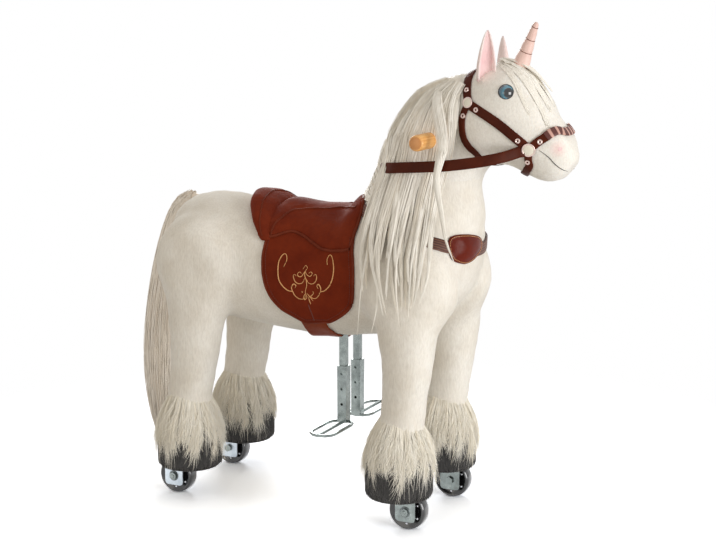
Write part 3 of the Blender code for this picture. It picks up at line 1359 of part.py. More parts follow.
def girth_strap():
    def place(u, v):
        angle = mix(FLAP_BOTTOM_DEG + GIRTH_GAP_DEG, 360.0 - FLAP_BOTTOM_DEG - GIRTH_GAP_DEG, v)
        return body_point(GIRTH_X + (2 * u - 1) * GIRTH_HALF_WIDTH, angle, CLOTH_GAP)

    inside = (GIRTH_X, 0.0, BELLY_Z + BODY_HEIGHT / 2)
    return finish(cushion(place, 2, 12, GIRTH_THICKNESS, inside), "girth_strap", LEATHER_TAN)


def saddle_pad(name, x_range, low_rear_x, edge_deg, thickness, rim_share, gap, spec):
    """A stuffed pad over the back; its rear edge runs forward as it goes down the sides."""
    def place(u, v):
        rear = mix(x_range[0], low_rear_x, (2 * v - 1) ** 2)
        return body_point(mix(rear, x_range[1], u), mix(edge_deg, -edge_deg, v), gap)

    inside = (x_range[1], 0.0, BELLY_Z + BODY_HEIGHT / 2)
    return finish(cushion(place, 8, 16, thickness, inside, dome, rim_share), name, spec)


def breast_points():
    """A drooping necklace line from flank to flank, round the front of the chest."""
    points = []
    for i in range(2 * BREAST_POINTS + 1):
        share = i / BREAST_POINTS - 1
        rise = abs(share)
        z = mix(BADGE_Z, BREAST_END_Z, rise ** 2)
        angle = math.radians(90.0 * rise)
        x = mix(BREAST_END_X, BODY_FRONT_X, math.cos(angle) ** (1 / 2) if rise < 1 else 0.0)
        y = math.copysign(body_flank(x, z), share) if share else 0.0
        points.append(Vector((x, y, z)))
    return points


def breast_shape(extra=0.0):
    points = breast_points()
    normals = []
    for i in range(len(points)):
        after = points[min(i + 1, len(points) - 1)]
        before = points[max(i - 1, 0)]
        normals.append((after - before).cross(ALONG_Z).normalized())
    return strap(points, normals, BREAST_WIDTH + extra, BREAST_THICKNESS + extra, CLOTH_GAP - extra / 2)


def breast_strap():
    return finish(cut(breast_shape(), [body_solid(2 * RUN_GAP)]), "breast_strap", STRAP_BROWN)


def chest_badge():
    """A blank oval shield, sewn over the strap on the chest."""
    ring = arc((0, 0), 1.0, 0.0, 360.0, BADGE_SIDES)[:-1]
    outline = [(BADGE_HALF_WIDTH * x, BADGE_HALF_HEIGHT * z) for x, z in ring]
    centre = Vector((BODY_FRONT_X, BADGE_Y, BADGE_Z))
    place = Matrix.Translation(centre) @ Matrix.Rotation(-math.radians(BADGE_TURN_DEG), 4, "Z")
    place = place @ Matrix.Rotation(math.pi / 2, 4, "Y") @ Matrix.Rotation(math.pi / 2, 4, "Z")
    made = plate([outline], BADGE_THICKNESS, place)
    made = cut(made, [breast_shape(2 * RUN_GAP), body_solid(2 * RUN_GAP)])
    return finish(made, "chest_badge", BADGE_BROWN)


def build():
    rear_wheel_x = rear_foot() - REAR_WHEEL_BACK
    front_wheel_x = SHOULDER_X + FRONT_WHEEL_LEAD
    chassis_frame()
    seat_board()
    torso()
    belly_panel()
    front_leg_frame()
    rear_leg_frame()
    sync_rod()
    tie_bar()
    return_spring("front_spring", SHOULDER_X, SHOULDER_Z, -1.0)
    return_spring("rear_spring", HIP_X, HIP_Z, 1.0)
    for side, sign in SIDES:
        y = sign * LEG_Y
        footrest_post("footrest_post_" + side, sign)
        footrest("footrest_" + side, sign)
        front_fork("front_fork_" + side, sign)
        wheel("front_wheel_" + side, front_wheel_x, y)
        axle("front_axle_" + side, front_wheel_x, y)
        wheel("rear_wheel_" + side, rear_wheel_x, y)
        axle("rear_axle_" + side, rear_wheel_x, y)
        fore_leg("fore_leg_" + side, sign)
        hind_leg("hind_leg_" + side, sign)
        fore = (SHOULDER_X, SHOULDER_Z)
        hind = (HIP_X, HIP_Z)
        fore_x = SHOULDER_X - FORE_CUFF_BACK
        hind_x = rear_foot() + HIND_CUFF_FORWARD
        cuff("fore_cuff_" + side, fore_x, y, fore, SHOULDER_X)
        cuff("hind_cuff_" + side, hind_x, y, hind, rear_foot())
        hoof("fore_hoof_" + side, fore_x, y, fore, SHOULDER_X, SHOULDER_X, HOOF_RECESS_RADIUS)
        hoof("hind_hoof_" + side, hind_x, y, hind, rear_foot(), rear_foot() - REAR_RECESS_BACK, REAR_RECESS_RADIUS)
        finish(ear_shape(sign), "ear_" + side, EAR_PINK, (SHOULDER_X, 0.0, NECK_PLANE_Z))
        finish(eye_shape(sign), "eye_" + side, EYE_BLUE, (SHOULDER_X, 0.0, NECK_PLANE_Z))
        bit_ring("bit_ring_" + side, sign)
        saddle_flap("saddle_flap_" + side, sign)
    steering_column()
    handle_dowel()
    neck_plush()
    head_plush()
    finish(horn_shape(), "horn", HORN_PINK, (SHOULDER_X, 0.0, NECK_PLANE_Z))
    noseband()
    headstall()
    finish(rein(), "rein", STRAP_BROWN, (SHOULDER_X, 0.0, NECK_PLANE_Z))
    mane()
    mane_fall()
    tail()
    girth_strap()
    seat_gap = 3 * CLOTH_GAP + FLAP_THICKNESS
    saddle_pad("saddle_seat", (SEAT_REAR_X, SEAT_FRONT_X), SEAT_REAR_X, SEAT_EDGE_DEG, SEAT_THICKNESS,
               SEAT_RIM_SHARE, seat_gap, LEATHER_TAN)
    saddle_pad("saddle_cantle", (CANTLE_REAR_X, CANTLE_FRONT_X), CANTLE_LOW_REAR_X, CANTLE_EDGE_DEG,
               CANTLE_THICKNESS, CANTLE_RIM_SHARE, 2 * TOUCH_GAP, LEATHER_TAN)
    breast_strap()
    chest_badge()


build()
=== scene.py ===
"""Looks for the plush ride-on unicorn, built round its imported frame.

Metres, +Z up. The animal faces +X and its right side is -Y.
"""

import math

import bmesh
import bpy
import numpy as np
import openvdb as vdb
from mathutils import Matrix, Vector
from mathutils.bvhtree import BVHTree


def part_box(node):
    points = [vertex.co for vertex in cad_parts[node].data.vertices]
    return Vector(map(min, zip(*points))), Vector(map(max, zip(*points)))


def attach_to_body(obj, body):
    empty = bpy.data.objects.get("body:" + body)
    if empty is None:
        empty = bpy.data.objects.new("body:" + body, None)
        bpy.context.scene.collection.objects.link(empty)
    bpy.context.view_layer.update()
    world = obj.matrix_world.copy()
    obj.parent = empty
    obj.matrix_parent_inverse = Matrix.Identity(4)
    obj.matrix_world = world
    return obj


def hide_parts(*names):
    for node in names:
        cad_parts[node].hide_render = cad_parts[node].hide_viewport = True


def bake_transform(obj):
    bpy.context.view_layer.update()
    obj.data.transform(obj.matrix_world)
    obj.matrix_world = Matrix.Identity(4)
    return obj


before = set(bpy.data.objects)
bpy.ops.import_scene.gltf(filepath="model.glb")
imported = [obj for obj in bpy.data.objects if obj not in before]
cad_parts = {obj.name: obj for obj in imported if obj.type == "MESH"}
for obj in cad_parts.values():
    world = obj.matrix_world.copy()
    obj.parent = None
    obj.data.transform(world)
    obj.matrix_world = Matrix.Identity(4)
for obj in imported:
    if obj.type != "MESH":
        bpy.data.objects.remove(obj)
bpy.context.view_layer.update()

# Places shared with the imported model
SHOULDER = (0.1675, 0.450)
HIP = (-0.268, 0.462)
LEG_Y = 0.106
REAR_FOOT_X = -0.298
FOOT_Z = 0.080
BODY_REAR_X = -0.374
BODY_LENGTH = 0.646
BELLY_Z = 0.330
BODY_HEIGHT = 0.250
BODY_HALF_WIDTH = 0.122
ROUNDNESS = 2.3
NECK_PLANE_Z = 0.600
COLLAR_TOP_Z = 0.645
NECK_BASE_X = 0.162
NECK_REACH = 0.293
NECK_RISE = 0.157
NECK_HALF_DEPTH = 0.106
NECK_HALF_WIDTH = 0.086
WHEEL_RADIUS = 0.036
SIDES = (("right", -1.0), ("left", 1.0))
UP = Vector((0.0, 0.0, 1.0))

# x, belly, back and width of each ring of the body, as shares of its sizes
BODY_SHARES = (
    (0.003, 0.50, 0.78, 0.25), (0.030, 0.32, 0.92, 0.50), (0.085, 0.18, 1.008, 0.78),
    (0.160, 0.09, 1.036, 0.94), (0.270, 0.05, 1.000, 0.985), (0.390, 0.02, 0.930, 1.00),
    (0.530, 0.00, 0.890, 1.00), (0.625, 0.012, 0.930, 0.975), (0.668, 0.03, 1.09, 0.95),
    (0.725, 0.05, 1.24, 0.925), (0.827, 0.13, 1.32, 0.885), (0.920, 0.26, 1.30, 0.755),
    (0.966, 0.40, 1.20, 0.60), (0.992, 0.56, 1.08, 0.37), (1.000, 0.66, 0.98, 0.17))

# x, z, tilt in degrees, depth and width of each ring of the neck and head
NECK_SHARES = (
    (0.022, 0.000, 0.0, 0.940, 1.000), (0.048, 0.236, 14.0, 0.885, 0.907),
    (0.104, 0.478, 33.0, 0.850, 0.814), (0.237, 0.783, 62.0, 0.830, 0.767),
    (0.345, 0.917, 81.0, 0.849, 0.790), (0.522, 1.003, 108.0, 0.915, 0.837),
    (0.674, 0.892, 116.0, 0.703, 0.744), (0.761, 0.713, 124.0, 0.566, 0.616),
    (0.812, 0.615, 129.0, 0.509, 0.547), (0.905, 0.487, 129.5, 0.377, 0.477),
    (0.952, 0.418, 129.5, 0.226, 0.314))

VOXEL = 0.005
BAND = 10
FIELD_LOW = (-0.42, -0.20, 0.16)
FIELD_HIGH = (0.46, 0.20, 0.88)
BODY_TOP_Z = 0.632
NECK_SUNK = 0.035
PUCK_INNER_Y = 0.056
SHANK_FOOT_Z = 0.2093
SHANK_HALF_WIDTH = 0.045
NECK_FILLET = 0.022
LEG_FILLET = 0.012
LINING_DEPTH = 0.0045

# Where the skin is cut into pieces
LEG_INNER_Y = 0.045
LEG_TOP_Z = 0.575


# Shapes

def spline(rows, index):
    """A row between the given rows, on a smooth curve through them."""
    low = min(max(int(index), 0), len(rows) - 2)
    t = index - low
    four = [rows[min(max(low + k, 0), len(rows) - 1)] for k in (-1, 0, 1, 2)]
    weights = (-t + 2 * t ** 2 - t ** 3, 2 - 5 * t ** 2 + 3 * t ** 3,
               t + 4 * t ** 2 - 3 * t ** 3, t ** 3 - t ** 2)
    return [sum(w * row[c] for w, row in zip(weights, four)) / 2 for c in range(len(rows[0]))]


def mix(start, end, share):
    return start + (end - start) * share


def clamp(value, low=0.0, high=1.0):
    return min(max(value, low), high)


def smooth(value):
    value = clamp(value)
    return value * value * (3 - 2 * value)


def signed_power(value, power):
    return math.copysign(abs(value) ** power, value)


def oval_point(angle_deg, half_up, half_side, roundness=ROUNDNESS):
    """A point of a slightly squared oval, as (up, side); 0 degrees is straight up."""
    angle = math.radians(angle_deg)
    return (half_up * signed_power(math.cos(angle), 2 / roundness),
            half_side * signed_power(math.sin(angle), 2 / roundness))


def body_row(x):
    """Belly height, back height and half width of the body at x."""
    share = clamp((x - BODY_REAR_X) / BODY_LENGTH, BODY_SHARES[0][0], BODY_SHARES[-1][0])
    for k, (low, high) in enumerate(zip(BODY_SHARES, BODY_SHARES[1:])):
        if share <= high[0]:
            row = spline(BODY_SHARES, k + (share - low[0]) / (high[0] - low[0]))
            break
    return BELLY_Z + row[1] * BODY_HEIGHT, BELLY_Z + row[2] * BODY_HEIGHT, row[3] * BODY_HALF_WIDTH


def body_point(x, angle_deg, offset=0.0):
    """A point on the body; 0 degrees is the back and 90 the right flank."""
    belly, back, half_width = body_row(x)
    up, side = oval_point(angle_deg, (back - belly) / 2 + offset, half_width + offset)
    return Vector((x, -side, (belly + back) / 2 + up))


def neck_row(index):
    """Centre, crest direction, half depth and half width of the neck and head at a row."""
    row = spline(NECK_SHARES, index)
    centre = Vector((NECK_BASE_X + row[0] * NECK_REACH, 0.0, NECK_PLANE_Z + row[1] * NECK_RISE))
    tilt = math.radians(row[2])
    crest = Vector((-math.cos(tilt), 0.0, math.sin(tilt)))
    return centre, crest, row[3] * NECK_HALF_DEPTH, row[4] * NECK_HALF_WIDTH


def neck_point(index, angle_deg, offset=0.0):
    """A point on the neck or head; 0 degrees is the crest and 90 the right side."""
    centre, crest, half_depth, half_width = neck_row(index)
    up, side = oval_point(angle_deg, half_depth + offset, half_width + offset)
    return centre + crest * up - Vector((0.0, side, 0.0))


# Meshes

def add_object(name, data):
    made = bpy.data.objects.new(name, data)
    bpy.context.scene.collection.objects.link(made)
    return made


def mesh_object(name, points, faces):
    mesh = bpy.data.meshes.new(name)
    mesh.from_pydata([tuple(p) for p in points], [], faces)
    mesh.validate()
    mesh.shade_smooth()
    return add_object(name, mesh)


def array_mesh(name, points, quads):
    """A mesh from numpy arrays of points and quads."""
    mesh = bpy.data.meshes.new(name)
    points = np.ascontiguousarray(points, dtype=np.float32)
    quads = np.ascontiguousarray(quads, dtype=np.int32)
    mesh.vertices.add(len(points))
    mesh.vertices.foreach_set("co", points.ravel())
    mesh.loops.add(quads.size)
    mesh.loops.foreach_set("vertex_index", quads.ravel())
    mesh.polygons.add(len(quads))
    mesh.polygons.foreach_set("loop_start", np.arange(0, quads.size, quads.shape[1], dtype=np.int32))
    mesh.update(calc_edges=True)
    mesh.validate()
    mesh.shade_smooth()
    return add_object(name, mesh)


def bmesh_object(name, bm):
    mesh = bpy.data.meshes.new(name)
    bm.to_mesh(mesh)
    bm.free()
    mesh.shade_smooth()
    return add_object(name, mesh)


def paint(made, name, values):
    """Store one number a vertex for the shaders."""
    mesh = made.data
    found = mesh.attributes.get(name) or mesh.attributes.new(name, "FLOAT", "POINT")
    found.data.foreach_set("value", np.ascontiguousarray(values, dtype=np.float32)[:len(mesh.vertices)])


def vectors_of(items, key):
    """The vector that each item holds under a key, as rows of an array."""
    values = np.empty(len(items) * 3, dtype=np.float32)
    items.foreach_get(key, values)
    return values.reshape(-1, 3).astype(np.float64)


def points_of(made):
    return vectors_of(made.data.vertices, "co")


def set_points(made, points):
    made.data.vertices.foreach_set("co", np.ascontiguousarray(points, dtype=np.float32).ravel())
    made.data.update()


def settle(made):
    """Apply an object's modifiers to its mesh."""
    bpy.context.view_layer.update()
    evaluated = made.evaluated_get(bpy.context.evaluated_depsgraph_get())
    mesh = bpy.data.meshes.new_from_object(evaluated)
    old = made.data
    made.modifiers.clear()
    made.data = mesh
    bpy.data.meshes.remove(old)


def subdivide(made):
    change = made.modifiers.new("fine", "SUBSURF")
    change.levels = change.render_levels = 1
    settle(made)
    made.data.shade_smooth()
    return made


def loft_arrays(rings, closed=False):
    """Points and faces of a skin through rings of points, joined up or capped at its ends."""
    count, size = len(rings), len(rings[0])
    points = [tuple(p) for ring in rings for p in ring]
    faces = []
    for k in range(count if closed else count - 1):
        n = (k + 1) % count
        for i in range(size):
            j = (i + 1) % size
            faces.append((k * size + i, k * size + j, n * size + j, n * size + i))
    if not closed:
        faces.append(tuple(range(size))[::-1])
        faces.append(tuple(range((count - 1) * size, count * size)))
    return points, faces


def face_outwards(made):
    bm = bmesh.new()
    bm.from_mesh(made.data)
    bmesh.ops.recalc_face_normals(bm, faces=bm.faces)
    bm.to_mesh(made.data)
    bm.free()
    return made


def loft(name, rings, closed=False):
    return face_outwards(mesh_object(name, *loft_arrays(rings, closed)))


def slab(name, outer, inner, rows, columns):
    """A closed sheet between two grids of points, given row by row."""
    total = rows * columns
    faces = []
    for i in range(rows - 1):
        for j in range(columns - 1):
            a = i * columns + j
            faces.append((a, a + 1, a + columns + 1, a + columns))
            faces.append((total + a, total + a + columns, total + a + columns + 1, total + a + 1))
    border = [i * columns for i in range(rows)] + [(rows - 1) * columns + j for j in range(1, columns)]
    border += [i * columns + columns - 1 for i in range(rows - 2, -1, -1)] + list(range(columns - 2, 0, -1))
    for a, b in zip(border, border[1:] + border[:1]):
        faces.append((a, b, b + total, a + total))
    return face_outwards(mesh_object(name, outer + inner, faces))


def round_turns(sides):
    """Cosine and sine at even steps round a circle."""
    turns = [2 * math.pi * i / sides for i in range(sides)]
    return [(math.cos(turn), math.sin(turn)) for turn in turns]


def circle(radius, sides=8):
    return [(radius * c, radius * s) for c, s in round_turns(sides)]


def level_ring(x, y, z, radius, sides=40):
    return [(x + a, y + b, z) for a, b in circle(radius, sides)]


def ring_about(centre, across, up, radius, sides):
    """A ring of points in the plane of two directions."""
    return [centre + across * c * radius + up * s * radius for c, s in round_turns(sides)]


def turned(name, profile, centre, axis, sides=48):
    """Spin a profile of (radius, height) pairs about an axis; radius 0 closes an end."""
    turn = Vector(axis).to_track_quat("Z", "Y").to_matrix()
    centre = Vector(centre)
    bm = bmesh.new()
    rings = []
    for radius, height in profile:
        spots = circle(radius, sides) if radius > 1e-6 else [(0.0, 0.0)]
        rings.append([bm.verts.new(centre + turn @ Vector((a, b, height))) for a, b in spots])
    for low, high in zip(rings, rings[1:]):
        for i in range(sides):
            j = (i + 1) % sides
            corners = [low[i % len(low)], low[j % len(low)], high[j % len(high)], high[i % len(high)]]
            corners = list(dict.fromkeys(corners))
            if len(corners) > 2:
                bm.faces.new(corners)
    bmesh.ops.recalc_face_normals(bm, faces=bm.faces)
    made = bmesh_object(name, bm)
    made.data.set_sharp_from_angle(angle=math.radians(38))
    return made


def sweep(name, path, section, normals=None, closed=False, scales=None):
    """Carry a section of (across, out) points along a path."""
    path = [Vector(p) for p in path]
    count = len(path)
    rings = []
    for i, point in enumerate(path):
        after = path[(i + 1) % count] if closed or i < count - 1 else point
        before = path[i - 1] if closed or i > 0 else point
        along = (after - before).normalized()
        if normals is not None:
            out = Vector(normals[i])
        else:
            out = UP if abs(along.dot(UP)) < 0.9 else Vector((1.0, 0.0, 0.0))
        out = (out - along * out.dot(along)).normalized()
        across = along.cross(out)
        scale = 1.0 if scales is None else scales[i]
        rings.append([point + across * a * scale + out * b * scale for a, b in section])
    return loft(name, rings, closed)


def band_section(width, thickness, edge=0.0008, crown=0.0004):
    """A strap's section, with softened edges and a slightly full face."""
    w, t = width / 2, thickness
    return [(-w, edge), (-w + edge, 0.0), (w - edge, 0.0), (w, edge), (w, t - edge), (w - edge, t),
            (w * 0.5, t + crown), (0.0, t + crown * 1.4), (-w * 0.5, t + crown), (-w + edge, t),
            (-w, t - edge)]


def lengths_along(points):
    """How far along a line of points each of them lies."""
    return np.concatenate([[0], np.cumsum(np.linalg.norm(np.diff(points, axis=0), axis=1))])


def at_shares(line, wanted, stations):
    """Points of a line at the wanted stations, given each point's own station."""
    return np.stack([np.interp(wanted, stations, line[:, c]) for c in range(line.shape[1])], axis=1)


def resample(points, count):
    """Evenly spaced points along a smooth curve through the given points."""
    rows = [tuple(p) for p in points]
    fine = np.array([spline(rows, k * (len(rows) - 1) / 400) for k in range(401)])
    steps = lengths_along(fine)
    return at_shares(fine, np.linspace(0, steps[-1], count), steps)


# Level sets: the stuffed body is one skin over its torso, neck, head and legs

field_start = np.floor(np.array(FIELD_LOW) / VOXEL).astype(int)
field_shape = tuple(int(n) for n in np.ceil(np.array(FIELD_HIGH) / VOXEL).astype(int) - field_start + 1)
field_corner = tuple(int(n) for n in field_start)
grid_map = vdb.createLinearTransform(voxelSize=VOXEL)


def distance_field(points, faces):
    """Signed distance to a closed mesh on the shared grid."""
    made = face_outwards(mesh_object("shape", points, faces))
    made.data.calc_loop_triangles()
    tris = np.empty(len(made.data.loop_triangles) * 3, dtype=np.int32)
    made.data.loop_triangles.foreach_get("vertices", tris)
    level = vdb.FloatGrid.createLevelSetFromPolygons(
        points_of(made).astype(np.float32), triangles=tris.reshape(-1, 3).astype(np.uint32),
        transform=grid_map, halfWidth=BAND)
    values = np.full(field_shape, level.background, np.float32)
    level.copyToArray(values, ijk=field_corner)
    bpy.data.objects.remove(made, do_unlink=True)
    return values


def blob_field(centre, radii, tilt_deg=0.0):
    """Signed distance, near enough, to an ellipsoid turned about the Y axis."""
    axes = [(field_start[c] + np.arange(field_shape[c])) * VOXEL - centre[c] for c in range(3)]
    x, y, z = np.meshgrid(*axes, indexing="ij")
    lean = math.radians(tilt_deg)
    along = x * math.cos(lean) - z * math.sin(lean)
    up = x * math.sin(lean) + z * math.cos(lean)
    size = np.sqrt(sum((part / radius) ** 2 for part, radius in zip((along, y, up), radii)))
    slope = np.sqrt(sum((part / radius ** 2) ** 2 for part, radius in zip((along, y, up), radii))) + 1e-6
    far = BAND * VOXEL
    return np.clip(size * (size - 1) / slope, -far, far).astype(np.float32)


def union(a, b, blend):
    """Both fields' shapes, with a fillet where they meet."""
    share = np.maximum(blend - np.abs(a - b), 0.0) / blend
    return np.minimum(a, b) - share * share * blend / 4


def blurred(values, steps):
    """Soften a field, a voxel or so at a time."""
    for _ in range(steps):
        for axis in range(3):
            near = np.take(values, [0, *range(values.shape[axis] - 1)], axis=axis)
            far = np.take(values, [*range(1, values.shape[axis]), values.shape[axis] - 1], axis=axis)
            values = values * 0.5 + (near + far) * 0.25
    return values


def field_mesh(values):
    """Points and quads of a field's zero surface."""
    grid = vdb.FloatGrid()
    grid.transform = grid_map
    grid.copyFromArray(values.astype(np.float32), ijk=field_corner)
    points, quads = grid.convertToQuads(0.0)
    return np.array(points, dtype=np.float64), np.array(quads, dtype=np.int32)


def sample(values, points):
    """Field values at points, by trilinear interpolation."""
    place = np.asarray(points) / VOXEL - field_start
    place = np.clip(place, 0, np.array(field_shape) - 1.001)
    low = np.floor(place).astype(int)
    t = place - low
    total = np.zeros(len(place))
    for corner in range(8):
        step = np.array([(corner >> c) & 1 for c in range(3)])
        weight = np.prod(np.where(step, t, 1 - t), axis=1)
        i, j, k = (low + step).T
        total += weight * values[i, j, k]
    return total


def torso_arrays():
    rings = []
    for k in range(61):
        x = BODY_REAR_X + BODY_LENGTH * clamp(0.5 - 0.5 * math.cos(math.pi * k / 60), 0.003, 1.0)
        ring = [body_point(x, 360.0 * i / 48) for i in range(48)]
        rings.append([Vector((p.x, p.y, min(p.z, BODY_TOP_Z))) for p in ring])
    return loft_arrays(rings)


def neck_arrays():
    """The neck and head, with their foot sunk into the body."""
    rings = [[neck_point(0, 360.0 * i / 40) - UP * NECK_SUNK for i in range(40)]]
    rings += [[neck_point(k / 4, 360.0 * i / 40) for i in range(40)] for k in range(41)]
    return loft_arrays(rings)


def puck_arrays(pivot, radius, outer_y, sign):
    """The round, flattened top of a leg."""
    depth = outer_y - PUCK_INNER_Y
    shares = ((0.02, 1.0), (0.25, 0.995), (0.45, 0.97), (0.62, 0.915), (0.77, 0.82), (0.88, 0.70),
              (0.95, 0.56), (0.99, 0.40), (1.0, 0.22), (0.99, 0.0))
    return loft_arrays([[(pivot[0] + a, sign * (PUCK_INNER_Y + depth * height), pivot[1] + b)
                         for a, b in circle(radius * reach, 48)] for reach, height in shares])


def shank_arrays(pivot, foot_x, half_depth, sign, radius, forward):
    """A leg from its round top down into the cuff."""
    top = pivot[1] - radius / 2
    shares = ((-0.30, 0.88, 0.86), (0.0, 0.88, 0.86), (0.15, 0.885, 0.88), (0.30, 0.92, 0.91),
              (0.58, 1.03, 0.98), (0.86, 1.18, 0.96), (1.05, 1.10, 0.80))
    rings = []
    for k in range(25):
        rise, depth, width = spline(shares, k * (len(shares) - 1) / 24)
        z = mix(SHANK_FOOT_Z, top, rise)
        x = mix(foot_x, pivot[0], (z - FOOT_Z) / (pivot[1] - FOOT_Z)) + forward * smooth(rise * 1.6 + 0.25)
        ring = []
        for i in range(40):
            up, side = oval_point(360.0 * i / 40, depth * half_depth, width * SHANK_HALF_WIDTH)
            ring.append(Vector((x + up, sign * LEG_Y + side, z)))
        rings.append(ring)
    return loft_arrays(rings)


torso_field = distance_field(*torso_arrays())
neck_field = distance_field(*neck_arrays())
# Muzzle, cheeks, brows and nostrils: x, y and z, radii, tilt in degrees
HEAD_FORMS = (
    (0.398, 0.0, 0.706, (0.050, 0.046, 0.040), 50.0),
    (0.352, 0.028, 0.730, (0.046, 0.030, 0.036), 30.0),
    (0.330, 0.030, 0.790, (0.050, 0.034, 0.040), 20.0),
    (0.420, 0.024, 0.720, (0.026, 0.020, 0.020), 45.0),
)
for x, y, z, radii, tilt in HEAD_FORMS:
    for side_y in (y, -y)[:2 if y else 1]:
        neck_field = union(neck_field, blob_field((x, side_y, z), radii, tilt), 0.012)
fore_fields = {}
hind_fields = {}
for side, sign in SIDES:
    fore_puck = puck_arrays(SHOULDER, 0.095, 0.143, sign)
    fore_shank = shank_arrays(SHOULDER, SHOULDER[0] - 0.002, 0.047, sign, 0.095, 0.010)
    hind_puck = puck_arrays((HIP[0] + 0.004, HIP[1]), 0.099, 0.147, sign)
    hind_shank = shank_arrays(HIP, REAR_FOOT_X, 0.050, sign, 0.108, 0.008)
    fore_fields[side] = union(distance_field(*fore_puck), distance_field(*fore_shank), 0.024)
    hind_fields[side] = union(distance_field(*hind_puck), distance_field(*hind_shank), 0.030)
trunk_field = union(torso_field, neck_field, NECK_FILLET)
skin_field = trunk_field
for side, _ in SIDES:
    for leg_field in (fore_fields[side], hind_fields[side]):
        skin_field = union(skin_field, leg_field, LEG_FILLET)
skin_field = blurred(skin_field, 4)
skin_points, skin_quads = field_mesh(skin_field)


def wobble(points, size, scale, seed):
    """A smooth pseudo-random push along each axis, from a few waves."""
    rng = np.random.default_rng(seed)
    total = np.zeros(len(points))
    for _ in range(10):
        direction = rng.normal(size=3)
        direction *= rng.uniform(0.6, 1.6) / np.linalg.norm(direction) / scale
        total += np.sin(points @ direction * 2 * math.pi + rng.uniform(0, 2 * math.pi))
    return total * size / 10 ** 0.5


def skin_normals():
    mesh = bpy.data.meshes.new("whole")
    mesh.from_pydata(skin_points.tolist(), [], skin_quads.tolist())
    mesh.update()
    normals = vectors_of(mesh.vertex_normals, "vector")
    bpy.data.meshes.remove(mesh)
    return normals


rest_normals = skin_normals()
if np.sum(rest_normals * (skin_points - skin_points.mean(axis=0)), axis=1).mean() < 0:
    skin_quads = skin_quads[:, ::-1].copy()
    rest_normals = -rest_normals
for size, scale, seed in ((0.0007, 0.055, 4), (0.0003, 0.022, 5)):
    skin_points = skin_points + rest_normals * wobble(skin_points, size, scale, seed)[:, None]
skin_tree = BVHTree.FromPolygons(skin_points.tolist(), skin_quads.tolist())


def turned_to(normal, way):
    """A normal, turned round if it faces away from a direction."""
    return normal if normal.dot(way) >= 0 else -normal


def onto_skin(start, toward, offset=0.0):
    """Where a ray from outside meets the skin, lifted by an offset, and the skin's normal there."""
    start, toward = Vector(start), Vector(toward)
    hit, normal, _, _ = skin_tree.ray_cast(start, (toward - start).normalized())
    if hit is None:
        hit, normal, _, _ = skin_tree.find_nearest(toward)
    normal = turned_to(normal, start - toward)
    return hit + normal * offset, normal


def laid_on_skin(places, inside, lift):
    """The skin's nearest points, lifted, and the normals there away from a point inside."""
    points, normals = [], []
    for place in places:
        near, normal, _, _ = skin_tree.find_nearest(Vector(place))
        normal = turned_to(normal, near - Vector(inside(near) if callable(inside) else inside))
        points.append(near + normal * lift)
        normals.append(normal)
    return points, normals


def on_body(x, angle_deg, offset=0.0):
    belly, back, _ = body_row(x)
    return onto_skin(body_point(x, angle_deg, 0.09), (x, 0.0, (belly + back) / 2), offset)


def on_neck(index, angle_deg, offset=0.0):
    return onto_skin(neck_point(index, angle_deg, 0.06), neck_row(index)[0], offset)


# Materials

def new_material(name):
    made = bpy.data.materials.new(name)
    made.use_nodes = True
    nodes = made.node_tree.nodes
    return made, made.node_tree, nodes["Principled BSDF"]


def add(tree, kind, **values):
    node = tree.nodes.new(kind)
    for key, value in values.items():
        if key in node.inputs:
            node.inputs[key].default_value = value
        else:
            setattr(node, key, value)
    return node


def linear(red, green, blue):
    """A colour given as sRGB bytes, as a shader takes it."""
    def channel(value):
        value /= 255.0
        return value / 12.92 if value <= 0.04045 else ((value + 0.055) / 1.055) ** 2.4
    return (channel(red), channel(green), channel(blue), 1.0)


def link(tree, source, node, key):
    tree.links.new(source, node.inputs[key])


def set_inputs(node, values):
    for key, value in values.items():
        node.inputs[key].default_value = value


def object_place(tree):
    return add(tree, "ShaderNodeTexCoord").outputs["Object"]


def stretched(tree, scale=(1.0, 1.0, 1.0)):
    """Object coordinates, scaled along each axis."""
    mapping = add(tree, "ShaderNodeMapping")
    mapping.inputs["Scale"].default_value = scale
    link(tree, object_place(tree), mapping, "Vector")
    return mapping.outputs["Vector"]


def noise(tree, scale, detail, roughness, stretch=(1.0, 1.0, 1.0)):
    node = add(tree, "ShaderNodeTexNoise")
    set_inputs(node, {"Scale": scale, "Detail": detail, "Roughness": roughness})
    link(tree, stretched(tree, stretch), node, "Vector")
    return node.outputs["Fac"]


def ramp(tree, fac, stops):
    node = add(tree, "ShaderNodeValToRGB")
    line = node.color_ramp
    while len(line.elements) < len(stops):
        line.elements.new(0.5)
    for element, (place, colour) in zip(line.elements, stops):
        element.position = place
        element.color = colour
    link(tree, fac, node, "Fac")
    return node.outputs["Color"]


def fill_slots(tree, slots, values):
    """Give each input its value or its link."""
    for slot, value in zip(slots, values):
        if isinstance(value, (int, float, tuple)):
            slot.default_value = value
        else:
            tree.links.new(value, slot)


def maths(tree, operation, *values):
    node = add(tree, "ShaderNodeMath", operation=operation)
    fill_slots(tree, node.inputs, values)
    return node.outputs[0]


def vector_maths(tree, operation, first, second=None, output="Vector"):
    node = add(tree, "ShaderNodeVectorMath", operation=operation)
    tree.links.new(first, node.inputs[0])
    if second is not None:
        node.inputs[1].default_value = second
    return node.outputs[output]


def blend_colours(tree, fac, first, second, kind="MIX"):
    node = add(tree, "ShaderNodeMix", data_type="RGBA", blend_type=kind)
    fill_slots(tree, (node.inputs[0], node.inputs[6], node.inputs[7]), (fac, first, second))
    return node.outputs[2]


